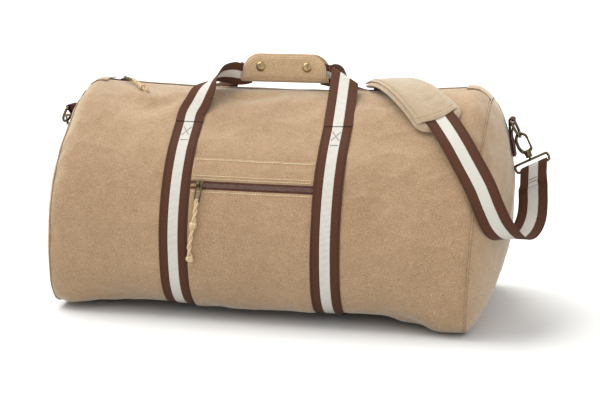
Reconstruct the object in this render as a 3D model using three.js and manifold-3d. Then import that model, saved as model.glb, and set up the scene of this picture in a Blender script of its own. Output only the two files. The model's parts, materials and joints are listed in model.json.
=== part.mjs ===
// A barrel-shaped canvas holdall, built from separate pieces.
// Millimetres, +Z up, front towards -Y, right end towards +X, standing on z = 0.
import * as THREE from "three";
import { mergeVertices } from "three/addons/utils/BufferGeometryUtils.js";
import Module from "manifold-3d";

const wasm = await Module();
wasm.setup();

// ---- driving dimensions ----
const FRAME_X = -17; // shifts the bag so that x = 0 is the middle of its whole length
const GAP = 0.4; // clearance between neighbouring pieces
const LEFT_END_SHARE = 0.6; // how far the left end takes on the end section's squarer foot
const CANVAS = 1.4; // canvas thickness
const WEB_WIDTH = 38;
const WEB_THICK = 1.4;
const BAG_HEIGHT = 288; // top of the sagging middle
const SEAM_RIGHT = 274; // x of the right end seam at the floor
const SEAM_RIGHT_LEAN = 13; // how much further out the seam is at the top
const SEAM_LEFT = 276;
const SEAM_LEFT_LEAN = -6;
const CREST = 8; // how much higher the top line is near the ends
const CREST_AT = 230;
const ZIP_RADIUS = (CREST_AT * CREST_AT) / (2 * CREST); // radius of the sagging top line
const BULGE_RIGHT = 38;
const BULGE_LEFT = 28;
const END_CENTRE_Z = 140;
const STRAP_X = 100; // the two webbing straps round the body
const LIFT_OFF = 0.776; // where the webbing leaves the body, as a share of the half girth
const BASE_EDGE = 0.166; // where the base panel ends, as a share of the half girth
const TOP_EDGE = 0.978; // where the front and back panels end beside the zip
const ZIP_LEFT = -226;
const ZIP_RIGHT = 256;
const POCKET_HALF = 80.4; // the pocket spans the gap between the straps
const ZIP_LINE = 0.585; // the pocket zip, as a share of the half girth
const GRIP_X = 10;
const GRIP_LENGTH = 116;
const GRIP_BOTTOM = 298;
const GRIP_TOP = 336;
const GRIP_MIDDLE = 312;
const RUN_HEIGHT = 22; // webbing gathered inside the grip
const WIRE = 1.9; // radius of the brass wire of rings, hooks and loops

// Half cross-sections [depth, height] from the middle of the base to the zip.
const MIDDLE_SECTION = [
  [0, 9], [60, 9], [96, 10.5], [126, 22], [144, 49], [150, 92], [147, 133],
  [134, 176], [112, 214], [86, 241], [54, 269], [27, 283], [0, BAG_HEIGHT],
];
const END_SECTION = [
  [0, 0], [70, 0], [112, 1.2], [140, 10], [152, 44], [152, 92], [146, 136],
  [132, 178], [110, 215], [85, 243], [54, 269.5], [27, 283.5], [0, BAG_HEIGHT],
];

// ---- materials ----
const material = (colour, roughness, metalness = 0) => () =>
  new THREE.MeshStandardMaterial({ color: colour, roughness, metalness });
const canvas = material(0xb39066, 0.95);
const lightCanvas = material(0xcdb48f, 0.95);
const webbing = material(0x5a3a2b, 0.9);
const zipTape = material(0x5c3a2c, 0.9);
const zipTeeth = material(0x6b4738, 0.55);
const brass = material(0x8a7448, 0.4, 0.9);
const cottonCord = material(0xd8c29a, 0.95);
const cottonLining = material(0xcfc2a6, 0.95);
const board = material(0x3c342c, 0.8);

const bag = new THREE.Group();
bag.name = "duffel_bag";
bag.position.x = FRAME_X;

function add(name, geometry, makeMaterial) {
  const mesh = new THREE.Mesh(geometry, makeMaterial());
  mesh.name = name;
  bag.add(mesh);
  return mesh;
}

// ---- small maths ----
const vec = (x, y, z) => new THREE.Vector3(x, y, z);
const lerp = (a, b, t) => a + (b - a) * t;
const smooth = (a, b, x) => THREE.MathUtils.smoothstep(x, a, b);

// A point of a half section, with the far side mirrored in so that both ends are level.
function sectionAt(table, t) {
  const last = table.length - 1;
  const at = Math.min(Math.max(t, 0), 1) * last;
  const i = Math.min(Math.floor(at), last - 1);
  const f = at - i;
  const get = (k) => {
    if (k < 0) return [-table[-k][0], table[-k][1]];
    if (k > last) return [-table[2 * last - k][0], table[2 * last - k][1]];
    return table[k];
  };
  const [a, b, c, d] = [get(i - 1), get(i), get(i + 1), get(i + 2)];
  return [0, 1].map((n) => {
    const p = -a[n] + 3 * b[n] - 3 * c[n] + d[n];
    const q = 2 * a[n] - 5 * b[n] + 4 * c[n] - d[n];
    return 0.5 * (2 * b[n] + (c[n] - a[n]) * f + q * f * f + p * f * f * f);
  });
}

// The body's outer skin. u runs -1..1 from the left seam to the right one.
// v runs -1..0 down the front from the zip to the base, and 0..1 up the back.
function skinPoint(u, v) {
  if (Math.abs(v) > 1) v -= 2 * Math.sign(v);
  const t = Math.abs(v);
  const blend = smooth(0.6, 0.94, Math.abs(u)) * (u < 0 ? LEFT_END_SHARE : 1);
  const middle = sectionAt(MIDDLE_SECTION, t);
  const end = sectionAt(END_SECTION, t);
  const depth = lerp(middle[0], end[0], blend);
  const height = lerp(middle[1], end[1], blend);
  const x = u * seamX(u, height);
  const w = height / BAG_HEIGHT;
  const reach = Math.min(Math.abs(x), 262);
  const crest = (reach * reach * w ** 3) / (2 * ZIP_RADIUS);
  const pinch = Math.min(Math.max((Math.abs(u) - 0.92) / 0.08, 0), 1) ** 2;
  const y = depth * (1 - 0.03 * pinch) * (v < 0 ? -1 : 1);
  return vec(x, y, (height + crest) * (1 - 0.05 * pinch * smooth(0.15, 0.9, w)));
}

function seamX(u, height) {
  const w = Math.min(Math.max(height / BAG_HEIGHT, 0), 1);
  return u > 0 ? SEAM_RIGHT + SEAM_RIGHT_LEAN * w : SEAM_LEFT + SEAM_LEFT_LEAN * w;
}

// The direction straight out of the skin.
function skinNormal(u, v) {
  const step = 0.002;
  const alongU = skinPoint(u + step, v).sub(skinPoint(u - step, v));
  const alongV = skinPoint(u, v + step).sub(skinPoint(u, v - step));
  return alongV.cross(alongU).normalize();
}

function skin(u, v, offset = 0) {
  return skinPoint(u, v).addScaledVector(skinNormal(u, v), offset);
}

// The same, by x in place of u.
function uAt(x, v) {
  let u = x / SEAM_RIGHT;
  for (let i = 0; i < 4; i++) u = x / seamX(u, skinPoint(u, v).z);
  return u;
}
const over = (x, v, offset = 0) => skin(uAt(x, v), v, offset);

// ---- closed solids ----
function solid(points, triangles) {
  const at = (i) => points[i];
  let volume = 0;
  for (const [a, b, c] of triangles) volume += at(a).dot(at(b).clone().cross(at(c)));
  const faces = volume < 0 ? triangles.map(([a, b, c]) => [a, c, b]) : triangles;
  const geometry = new THREE.BufferGeometry();
  geometry.setAttribute(
    "position",
    new THREE.Float32BufferAttribute(points.flatMap((p) => [p.x, p.y, p.z]), 3),
  );
  geometry.setIndex(faces.flat());
  geometry.computeVertexNormals();
  return geometry;
}

// A sheet of even thickness: pointAt(s, t, offset) with s and t from 0 to 1.
function sheet(pointAt, ns, nt, low, high) {
  const points = [];
  const layer = (ns + 1) * (nt + 1);
  for (const offset of [low, high])
    for (let i = 0; i <= ns; i++)
      for (let j = 0; j <= nt; j++) points.push(pointAt(i / ns, j / nt, offset));
  const id = (i, j, k) => k * layer + i * (nt + 1) + j;
  const faces = [];
  const quad = (a, b, c, d) => faces.push([a, b, c], [a, c, d]);
  for (let i = 0; i < ns; i++)
    for (let j = 0; j < nt; j++) {
      quad(id(i, j, 1), id(i + 1, j, 1), id(i + 1, j + 1, 1), id(i, j + 1, 1));
      quad(id(i, j, 0), id(i, j + 1, 0), id(i + 1, j + 1, 0), id(i + 1, j, 0));
    }
  for (let i = 0; i < ns; i++) {
    quad(id(i, 0, 0), id(i + 1, 0, 0), id(i + 1, 0, 1), id(i, 0, 1));
    quad(id(i, nt, 0), id(i, nt, 1), id(i + 1, nt, 1), id(i + 1, nt, 0));
  }
  for (let j = 0; j < nt; j++) {
    quad(id(0, j, 0), id(0, j, 1), id(0, j + 1, 1), id(0, j + 1, 0));
    quad(id(ns, j, 0), id(ns, j + 1, 0), id(ns, j + 1, 1), id(ns, j, 1));
  }
  return solid(points, faces);
}

// A patch of the skin between two x values and two girth values.
function patch(x0, x1, v0, v1, low, high, nx = 8, nv = 6) {
  const at = (s, t, offset) => over(lerp(x0, x1, s), lerp(v0, v1, t), offset);
  return sheet(at, nx, nv, low, high);
}

// A section carried along frames of {p, side, up}. A closed sweep joins its own start.
function sweep(frames, section, closed = false) {
  const n = section.length;
  const points = [];
  for (const f of frames)
    for (const [a, b] of section)
      points.push(f.p.clone().addScaledVector(f.side, a).addScaledVector(f.up, b));
  const faces = [];
  const rings = closed ? frames.length : frames.length - 1;
  for (let i = 0; i < rings; i++)
    for (let j = 0; j < n; j++) {
      const next = (i + 1) % frames.length;
      const k = (j + 1) % n;
      const [a, b, c, d] = [i * n + j, next * n + j, next * n + k, i * n + k];
      faces.push([a, b, c], [a, c, d]);
    }
  if (!closed)
    for (const [start, turn] of [[0, true], [(frames.length - 1) * n, false]])
      for (let j = 1; j < n - 1; j++)
        faces.push(turn ? [start, start + j, start + j + 1] : [start, start + j + 1, start + j]);
  return solid(points, faces);
}

// Frames along a smooth curve. across gives each point's width direction.
function framesAlong(path, steps, closed = false) {
  const through = new THREE.CatmullRomCurve3(path.map((k) => vec(...k.at)), closed);
  const widths = new THREE.CatmullRomCurve3(path.map((k) => vec(...k.across)), closed);
  const frames = [];
  for (let i = 0; i < (closed ? steps : steps + 1); i++) {
    const along = through.getTangent(i / steps);
    const side = widths.getPoint(i / steps);
    side.addScaledVector(along, -side.dot(along)).normalize();
    frames.push({ p: through.getPoint(i / steps), side, up: along.clone().cross(side) });
  }
  return frames;
}

const rectangle = (width, height) => [
  [-width / 2, -height / 2],
  [width / 2, -height / 2],
  [width / 2, height / 2],
  [-width / 2, height / 2],
];

function circle(radius, sides = 8) {
  const corner = (i) => (2 * Math.PI * i) / sides;
  return Array.from({ length: sides }, (_, i) => [
    radius * Math.cos(corner(i)),
    radius * Math.sin(corner(i)),
  ]);
}

function ribbon(path, steps, width = WEB_WIDTH, thick = WEB_THICK) {
  return sweep(framesAlong(path, steps), rectangle(width, thick));
}

// A round wire through points that all lie square to one direction.
function wire(points, across, radius, steps, closed = false, sides = 8) {
  const path = points.map((at) => ({ at, across }));
  return sweep(framesAlong(path, steps, closed), circle(radius, sides), closed);
}

function toManifold(geometry) {
  return new wasm.Manifold(
    new wasm.Mesh({
      numProp: 3,
      vertProperties: geometry.attributes.position.array,
      triVerts: new Uint32Array(geometry.index.array),
    }),
  );
}

// A geometry with each corner held once.
function welded(geometry) {
  const bare = geometry.clone();
  bare.deleteAttribute("normal");
  bare.deleteAttribute("uv");
  return mergeVertices(bare, 1e-3);
}

function fromManifold(manifold) {
  const mesh = manifold.getMesh();
  const geometry = new THREE.BufferGeometry();
  geometry.setAttribute("position", new THREE.BufferAttribute(mesh.vertProperties, 3));
  geometry.setIndex(new THREE.BufferAttribute(mesh.triVerts, 1));
  geometry.computeVertexNormals();
  return geometry;
}

// A block or a round bar as a manifold, centred where it says.
const block = (size, centre) => wasm.Manifold.cube(size, true).translate(centre);
const bar = (length, radius, centre, sides = 16) =>
  wasm.Manifold.cylinder(length, radius, radius, sides, true).translate(centre);
const joined = (...parts) => wasm.Manifold.union(parts);

// Put a geometry made in local axes into the bag: x, y, z axes and origin in bag space.
function place(geometry, origin, xAxis, yAxis) {
  const x = vec(...xAxis).normalize();
  const y = vec(...yAxis).normalize();
  const z = x.clone().cross(y).normalize();
  const turn = new THREE.Matrix4().makeBasis(x, z.clone().cross(x), z);
  turn.setPosition(...origin);
  return geometry.clone().applyMatrix4(turn);
}

// ---- the body ----
function buildBody() {
  const wall = (v0, v1) => (s, t, offset) => skin(lerp(-1, 1, s), lerp(v0, v1, t), offset);
  add("front_panel", sheet(wall(-TOP_EDGE, -BASE_EDGE - 0.003), 24, 17, -CANVAS, 0), canvas);
  add("back_panel", sheet(wall(TOP_EDGE, BASE_EDGE + 0.003), 24, 17, -CANVAS, 0), canvas);
  add("base_panel", sheet(wall(-BASE_EDGE, BASE_EDGE), 24, 6, -CANVAS, 0), canvas);
  add("end_panel_right", endPanel(1), canvas);
  add("end_panel_left", endPanel(-1), canvas);
  const inside = (s, t, offset) => skin(lerp(-0.97, 0.97, s), lerp(-0.93, 0.93, t), offset);
  add("lining", sheet(inside, 12, 22, -6.6, -5.8), cottonLining);
  const stiff = (s, t, offset) =>
    skin(lerp(-0.93, 0.93, s), lerp(-0.148, 0.148, t), offset);
  add("base_board", sheet(stiff, 18, 4, -5.1, -2.4), board);
}

// The outward x of an end panel at a share rho of the way from its middle to the seam.
function endPoint(side, rho, v, offset = 0) {
  const rim = skinPoint(side, v);
  const y = rim.y * rho;
  const z = END_CENTRE_Z + (rim.z - END_CENTRE_Z) * rho;
  const bulge = (side > 0 ? BULGE_RIGHT : BULGE_LEFT) * (1 - rho * rho) ** 0.7;
  const seam = Math.abs(side * seamX(side, z));
  return vec(side * (seam + bulge + offset + 0.6), y, z);
}

function endPanel(side) {
  const rings = 6;
  const around = 40;
  const points = [];
  for (const offset of [-CANVAS, 0]) {
    points.push(endPoint(side, 0, 0, offset));
    for (let i = 1; i <= rings; i++)
      for (let j = 0; j < around; j++)
        points.push(endPoint(side, (0.992 * i) / rings, lerp(-1, 1, j / around), offset));
  }
  const layer = 1 + rings * around;
  const id = (i, j, k) => k * layer + 1 + (i - 1) * around + (j % around);
  const faces = [];
  for (let j = 0; j < around; j++) {
    faces.push([layer, id(1, j, 1), id(1, j + 1, 1)]);
    faces.push([0, id(1, j + 1, 0), id(1, j, 0)]);
    for (let i = 1; i < rings; i++) {
      const [a, b, c, d] = [id(i, j, 1), id(i + 1, j, 1), id(i + 1, j + 1, 1), id(i, j + 1, 1)];
      faces.push([a, b, c], [a, c, d]);
      const [e, f, g, h] = [id(i, j, 0), id(i, j + 1, 0), id(i + 1, j + 1, 0), id(i + 1, j, 0)];
      faces.push([e, f, g], [e, g, h]);
    }
    const [a, b, c, d] = [id(rings, j, 0), id(rings, j + 1, 0), id(rings, j + 1, 1), id(rings, j, 1)];
    faces.push([a, b, c], [a, c, d]);
  }
  return solid(points, faces);
}

// ---- the main zip ----
const zipTop = (x) => BAG_HEIGHT + (x * x) / (2 * ZIP_RADIUS);
const topShare = (y) => 1 - y / (27 * 12); // girth share at a small distance y from the zip line

function buildMainZip() {
  const [near, far] = [topShare(3.2), topShare(18)];
  add("main_zip_tape_front", patch(ZIP_LEFT, ZIP_RIGHT, -near, -far, -2.5, -1.8, 24, 2), zipTape);
  add("main_zip_tape_back", patch(ZIP_LEFT, ZIP_RIGHT, near, far, -2.5, -1.8, 24, 2), zipTape);
  add("main_zip_chain", zipChain(), zipTeeth);
  for (const [name, side] of [["zip_end_tab_left", -1], ["zip_end_tab_right", 1]]) {
    const at = (s, t, offset) => {
      const across = lerp(-1, 1, t);
      const v = (across < 0 ? -1 : 1) * (1 - Math.abs(across) * 0.05);
      return skin(side * lerp(0.89, 0.999, s), v, offset);
    };
    add(name, sheet(at, 4, 8, GAP, GAP + 1.2), canvas);
  }
  buildMainSlider();
}

// Interlocked teeth as one bar whose edges step in and out.
function zipChain() {
  const start = ZIP_LEFT + 8;
  const end = ZIP_RIGHT - 4;
  const steps = 144;
  const points = [];
  const frames = [];
  for (let i = 0; i <= steps; i++) {
    const x = lerp(start, end, i / steps);
    frames.push({ p: vec(x, 0, zipTop(x) - 1.9), half: i % 4 < 2 ? 2.7 : 2.0 });
  }
  for (const f of frames)
    for (const [a, b] of [[-1, -1], [1, -1], [1, 1], [-1, 1]])
      points.push(vec(f.p.x, a * f.half, f.p.z + b));
  const faces = [];
  for (let i = 0; i < steps; i++)
    for (let j = 0; j < 4; j++) {
      const k = (j + 1) % 4;
      const [a, b, c, d] = [i * 4 + j, i * 4 + 4 + j, i * 4 + 4 + k, i * 4 + k];
      faces.push([a, b, c], [a, c, d]);
    }
  const last = steps * 4;
  faces.push([0, 1, 2], [0, 2, 3], [last, last + 2, last + 1], [last, last + 3, last + 2]);
  return solid(points, faces);
}

// A slider in its own axes: x along the zip, z out of the face, teeth at z -1.9 +- 1.
// A bridge in line with the pull stands on the top plate.
function sliderShape(pullAngle) {
  const top = block([11, 8.4, 1.4], [0, 0, 0.9]);
  const bottom = block([11, 8.4, 1.2], [0, 0, -4.1]);
  const post = block([2.2, 2.4, 4.6], [-3.6, 0, -1.8]);
  const arch = wire(
    [[-3.4, 0, 1.2], [-3, 0, 3.6], [0, 0, 5], [3, 0, 3.6], [3.4, 0, 1.2]],
    [0, 1, 0], 0.7, 10,
  );
  return fromManifold(joined(top, bottom, post, toManifold(arch).rotate([0, 0, pullAngle])));
}

const PULL_LENGTH = 26;
const HINGE_BAR = 1.5; // from the pull's own origin back to the middle of its hinge bar

// A flat pull in its own axes: x along the pull from its hinge hole, z out of its face.
function pullShape() {
  const outline = block([PULL_LENGTH, 8.4, 1.4], [PULL_LENGTH / 2 - 2.4, 0, 0]);
  const hinge = block([4.4, 4.6, 3], [1.6, 0, 0]);
  const slot = block([PULL_LENGTH - 11, 4, 3], [PULL_LENGTH / 2 + 1, 0, 0]);
  return fromManifold(outline.subtract(hinge).subtract(slot));
}

const MAIN_SLIDER_X = -220;
const MAIN_PULL_ANGLE = -43; // degrees from the zip line, towards the front

function buildMainSlider() {
  const tilt = Math.atan(MAIN_SLIDER_X / ZIP_RADIUS);
  const along = [Math.cos(tilt), 0, Math.sin(tilt)];
  const origin = [MAIN_SLIDER_X, 0, zipTop(MAIN_SLIDER_X)];
  add("main_zip_slider", place(sliderShape(MAIN_PULL_ANGLE), origin, along, [0, 1, 0]), brass);
  const turn = THREE.MathUtils.degToRad(MAIN_PULL_ANGLE);
  const pullAlong = vec(Math.cos(turn), Math.sin(turn), -0.04).normalize();
  const pullAcross = vec(-Math.sin(turn), Math.cos(turn), 0);
  const hinge = vec(MAIN_SLIDER_X, 0, zipTop(MAIN_SLIDER_X) + 2.95);
  const start = hinge.clone().addScaledVector(pullAlong, HINGE_BAR);
  add(
    "main_zip_pull",
    place(pullShape(), start.toArray(), pullAlong.toArray(), pullAcross.toArray()),
    brass,
  );
  const end = start.clone().addScaledVector(pullAlong, PULL_LENGTH - 2.4);
  const cord = [
    { at: end.clone().addScaledVector(pullAlong, 2.4).toArray(), across: [0, 0, 1] },
    { at: end.clone().add(vec(9, -8, -2.4)).toArray(), across: [0, 0, 1] },
    { at: end.clone().add(vec(22, -17, -8)).toArray(), across: [0, 0, 1] },
    { at: end.clone().add(vec(40, -27, -16)).toArray(), across: [0, 0, 1] },
  ];
  add("main_zip_cord", sweep(framesAlong(cord, 12), circle(1.9)), cottonCord);
}

// ---- the front pocket ----
function buildPocket() {
  const half = POCKET_HALF;
  const at = (v0, v1, low, high, nv) => patch(-half, half, -v0, -v1, low, high, 10, nv);
  add("pocket_facing", at(0.654, ZIP_LINE + 0.0105, 1.3, 2.6, 4), canvas);
  add("pocket_panel", at(ZIP_LINE - 0.0105, BASE_EDGE + 0.006, 1.3, 2.6, 14), canvas);
  add("pocket_zip_tape_upper", at(ZIP_LINE + 0.026, ZIP_LINE + 0.0052, 0.4, 1, 2), zipTape);
  add("pocket_zip_tape_lower", at(ZIP_LINE - 0.0052, ZIP_LINE - 0.026, 0.4, 1, 2), zipTape);
  add("pocket_zip_chain", patch(-61, half, -ZIP_LINE - 0.004, -ZIP_LINE + 0.004, 0.5, 2.2, 40, 1),
    zipTeeth);
  const bagAt = (s, t, offset) => over(lerp(-half, half, s), lerp(-0.62, -0.24, t), offset);
  add("pocket_lining", sheet(bagAt, 8, 8, -4.4, -2.6), cottonLining);
  buildPocketSlider();
}

const POCKET_SLIDER_X = -67;

function buildPocketSlider() {
  const v = -ZIP_LINE;
  const u = uAt(POCKET_SLIDER_X, v);
  const out = skinNormal(u, v);
  const upSlope = out.clone().cross(vec(1, 0, 0));
  const face = skin(u, v, 3.1);
  const slider = joined(
    block([10, 9, 1.2], [0, 0, 0.7]),
    block([2, 1.6, 2.4], [-3.4, 0, -0.9]),
    toManifold(
      wire([[0, -3.2, 0.8], [0, -2.8, 3.3], [0, 0, 4.7], [0, 2.8, 3.3], [0, 3.2, 0.8]], [1, 0, 0], 0.7, 10),
    ),
  );
  add("pocket_zip_slider", place(fromManifold(slider), face.toArray(), [1, 0, 0],
    upSlope.toArray()), brass);
  const hinge = face.clone().addScaledVector(out, 2.5);
  const hang = over(POCKET_SLIDER_X - 2, -0.532, 5).sub(hinge).normalize();
  const start = hinge.clone().addScaledVector(hang, HINGE_BAR);
  add("pocket_zip_pull", place(pullShape(), start.toArray(), hang.toArray(), [1, 0, 0]), brass);
  const end = start.clone().addScaledVector(hang, PULL_LENGTH - 1.8);
  const onPocket = [[-3, 0.515], [-5, 0.49], [-8, 0.45], [-9, 0.41]];
  const points = onPocket.map(([x, share]) => over(POCKET_SLIDER_X + x, -share, 5.3));
  const cord = [end, ...points].map((p) => ({ at: p.toArray(), across: [1, 0, 0] }));
  add("pocket_zip_cord", sweep(framesAlong(cord, 12), circle(1.9)), cottonCord);
}

// ---- webbing straps and carry handles ----
function buildStraps() {
  for (const [name, x] of [["strap_left", -STRAP_X], ["strap_right", STRAP_X]]) {
    const half = WEB_WIDTH / 2;
    add(name, patch(x - half, x + half, -LIFT_OFF, LIFT_OFF, GAP, GAP + WEB_THICK, 2, 56), webbing);
  }
}

// Legs that curl over into the grip, from the strap up: middle points and width directions.
const CURLED_LEGS = {
  front_left: [
    { at: [-99.5, -69, 262], across: [1, 0, 0] },
    { at: [-94, -60, 275], across: [1, -0.06, 0] },
    { at: [-89, -50, 290], across: [0.97, -0.28, 0] },
    { at: [-83, -39, 302], across: [0.72, -0.68, 0.25] },
    { at: [-73, -25, 310], across: [0.3, -0.78, 0.55] },
    { at: [-61, -12, 310], across: [0.06, -0.6, 0.8] },
    { at: [-50, -4, 307], across: [0, -0.15, 0.99] },
  ],
  back_left: [
    { at: [-99, 68, 262], across: [1, 0, 0] },
    { at: [-97, 59, 272], across: [1, 0.06, 0] },
    { at: [-92, 48, 284], across: [0.97, 0.28, 0] },
    { at: [-84, 36, 293], across: [0.72, 0.68, 0.25] },
    { at: [-74, 25, 301], across: [0.3, 0.78, 0.55] },
    { at: [-62, 14, 306], across: [0.06, 0.6, 0.8] },
    { at: [-50, 4, 307], across: [0, 0.15, 0.99] },
  ],
  back_right: [
    { at: [101, 68, 262], across: [-1, 0, 0] },
    { at: [102, 58, 273], across: [-1, 0.06, 0] },
    { at: [101, 47, 284], across: [-0.97, 0.28, 0] },
    { at: [97, 36, 294], across: [-0.72, 0.68, 0.25] },
    { at: [90, 25, 301], across: [-0.3, 0.78, 0.55] },
    { at: [80, 14, 306], across: [-0.06, 0.6, 0.8] },
    { at: [70.5, 5.5, 307], across: [0, 0.15, 0.99] },
  ],
};

// Webbing as a sheet over frames, gathered to the grip's own run at its far end.
function curledLeg(name) {
  const path = CURLED_LEGS[name];
  const face = name.startsWith("front") ? -1 : 1;
  const side = name.endsWith("left") ? -1 : 1;
  const foot = over(side * STRAP_X, face * (LIFT_OFF + 0.005), GAP + WEB_THICK / 2 + 0.4);
  const steps = 22;
  const frames = framesAlong([{ at: foot.toArray(), across: path[0].across }, ...path], steps);
  const at = (s, t, offset) => {
    const f = frames[Math.round(s * steps)];
    const width = lerp(WEB_WIDTH, 28, smooth(0.72, 1, s));
    return f.p.clone().addScaledVector(f.side, (t - 0.5) * width).addScaledVector(f.up, offset);
  };
  return sheet(at, steps, 4, -WEB_THICK / 2, WEB_THICK / 2);
}

// The front handle's right leg: straight up, over a diagonal roll and back behind itself.
function foldedLeg() {
  const radius = 2.6;
  const down = THREE.MathUtils.degToRad(10); // how far the folded part drops from level
  const centre = vec(95, -15, 308.5);
  const foot = over(STRAP_X, -(LIFT_OFF + 0.004), GAP + WEB_THICK / 2 + 0.8);
  const rise = centre.clone().sub(foot);
  const up = rise.clone().normalize();
  const across = vec(1, 0, 0).addScaledVector(up, -up.x).normalize();
  const out = across.clone().cross(up);
  const fold = new THREE.Vector2(Math.cos(down), 1 + Math.sin(down)).normalize();
  const rolled = (Math.PI * radius) / fold.y; // length taken by the roll
  const last = 28.3;
  const length = rise.length();
  const rows = [[-length, 0], [-26, 0], [-2, 1], [rolled + 1, 1], [last, 0]]; // along, slant
  const shares = [0, 0.25, 0.45, 0.8, 1];
  const at = (s, t, offset) => {
    const i = Math.min(shares.findLastIndex((x) => x <= s + 1e-9), 3);
    const f = (s - shares[i]) / (shares[i + 1] - shares[i]);
    const w = (0.5 - t) * WEB_WIDTH;
    const slant = lerp(rows[i][1], rows[i + 1][1], f);
    const along = lerp(rows[i][0], rows[i + 1][0], f) - (fold.x / fold.y) * w * slant;
    const q = w * fold.x + along * fold.y;
    const level = along * fold.x - w * fold.y;
    const turn = THREE.MathUtils.clamp(q / radius, 0, Math.PI);
    const past = q < 0 ? q : q < Math.PI * radius ? radius * Math.sin(turn) : Math.PI * radius - q;
    const depth = radius * (1 - Math.cos(turn)) - offset * Math.cos(turn);
    const lean = past + offset * Math.sin(turn);
    return centre.clone()
      .addScaledVector(across, -fold.y * level + fold.x * lean)
      .addScaledVector(up, fold.x * level + fold.y * lean)
      .addScaledVector(out, -depth);
  };
  return sheet(at, 40, 6, -WEB_THICK / 2, WEB_THICK / 2);
}

function buildHandles() {
  for (const [faceName, face] of [["front", -1], ["back", 1]]) {
    for (const sideName of ["left", "right"]) {
      const leg = faceName + "_" + sideName;
      add("handle_" + faceName + "_leg_" + sideName, leg in CURLED_LEGS ? curledLeg(leg) : foldedLeg(), webbing);
    }
    const run = block([GRIP_LENGTH - 6, WEB_THICK, RUN_HEIGHT], [GRIP_X, face * 2.2, GRIP_MIDDLE]);
    add("handle_" + faceName + "_run", fromManifold(run), webbing);
  }
}

// ---- the grip wrap with its two snaps ----
const SNAP_X = [GRIP_X - 32, GRIP_X + 32];
const SNAP_Z = 318.5;
const FLAP_Y = -7.4; // outer face of the front flap
const GRIP_CORNER = 25; // radius of the grip's two top corners

// A plate with rounded top corners, seen from the front, centred on the grip.
function gripOutline(bottom, holeRadius) {
  const half = GRIP_LENGTH / 2;
  const corner = GRIP_CORNER;
  const shape = new THREE.Shape();
  shape.moveTo(-half, bottom);
  shape.lineTo(half, bottom);
  shape.lineTo(half, GRIP_TOP - corner);
  shape.absarc(half - corner, GRIP_TOP - corner, corner, 0, Math.PI / 2, false);
  shape.lineTo(-half + corner, GRIP_TOP);
  shape.absarc(-half + corner, GRIP_TOP - corner, corner, Math.PI / 2, Math.PI, false);
  if (holeRadius)
    for (const x of SNAP_X) {
      const hole = new THREE.Path();
      hole.absarc(x - GRIP_X, SNAP_Z, holeRadius, 0, Math.PI * 2, true);
      shape.holes.push(hole);
    }
  return shape;
}

function buildGrip() {
  const thick = 1.6;
  const outline = gripOutline(GRIP_BOTTOM + 3, 2.2);
  const flap = new THREE.ExtrudeGeometry(outline, { depth: thick, bevelEnabled: false, curveSegments: 8 });
  flap.rotateX(Math.PI / 2);
  flap.translate(GRIP_X, FLAP_Y + thick, 0);
  add("grip_flap", flap, lightCanvas);
  add("grip_wrap", gripWrap(thick), canvas);
  SNAP_X.forEach((x, i) => {
    const end = ["left", "right"][i];
    add("snap_cap_" + end, snapCap(x, thick), brass);
    add("snap_stud_" + end, snapStud(x), brass);
  });
}

// The back of the wrap and the fold under both handle runs, as one bent plate.
function gripWrap(thick) {
  const half = GRIP_LENGTH / 2;
  const back = 4.6;
  const profile = [];
  const front = FLAP_Y;
  const centreY = (front + back + thick) / 2;
  const outer = (back + thick - front) / 2;
  const inner = outer - thick;
  const bendZ = GRIP_BOTTOM + outer;
  const steps = 8;
  profile.push([back + thick, GRIP_TOP]);
  for (let i = 0; i <= steps; i++) {
    const a = (-Math.PI * 0.72 * i) / steps;
    profile.push([centreY + outer * Math.cos(a), bendZ + outer * Math.sin(a)]);
  }
  for (let i = steps; i >= 0; i--) {
    const a = (-Math.PI * 0.72 * i) / steps;
    profile.push([centreY + inner * Math.cos(a), bendZ + inner * Math.sin(a)]);
  }
  profile.push([back, GRIP_TOP]);
  const shape = new THREE.Shape(profile.map(([y, z]) => new THREE.Vector2(y, z)));
  const bent = new THREE.ExtrudeGeometry(shape, { depth: 2 * half, bevelEnabled: false });
  bent.rotateY(Math.PI / 2);
  bent.rotateX(Math.PI / 2);
  bent.translate(GRIP_X - half, 0, 0);
  const rounded = new THREE.ExtrudeGeometry(gripOutline(GRIP_BOTTOM - 2, 0), {
    depth: 40, bevelEnabled: false, curveSegments: 8,
  });
  rounded.rotateX(Math.PI / 2);
  rounded.translate(GRIP_X, 20, 0);
  return fromManifold(toManifold(welded(bent)).intersect(toManifold(welded(rounded))));
}

// A turned piece along -Y from points [radius, distance forward].
function turned(points, x, y, z, sides = 20) {
  const lathe = new THREE.LatheGeometry(points.map(([r, h]) => new THREE.Vector2(r, h)), sides);
  lathe.translate(x, y, z);
  return lathe;
}

// Domed cap outside the flap, shank through its hole, socket inside.
function snapCap(x, thick) {
  const face = FLAP_Y - 0.3;
  const back = FLAP_Y + thick + 0.3 - face;
  const profile = [
    [0, 3], [2.8, 2.6], [5.2, 1.4], [6.6, 0], [1.6, 0], [1.6, -back], [4.2, -back],
    [4.2, -back - 0.9], [0, -back - 0.9],
  ];
  return turned(profile.map(([r, h]) => [r, -h]), x, face, SNAP_Z);
}

// Small stud on the front handle's webbing, just behind the socket.
function snapStud(x) {
  return turned([[0, 0], [4, 0], [4, 1], [0, 1]], x, -4.25, SNAP_Z);
}

// ---- rings and clips at the two ends ----
const RING_Z = 256;
const LOOP_DROP = 32; // from the hook's own origin to the strap's bar of its loop
const LOOP_HALF = 23;
const LOOP_WIRE = 1.7;

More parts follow.
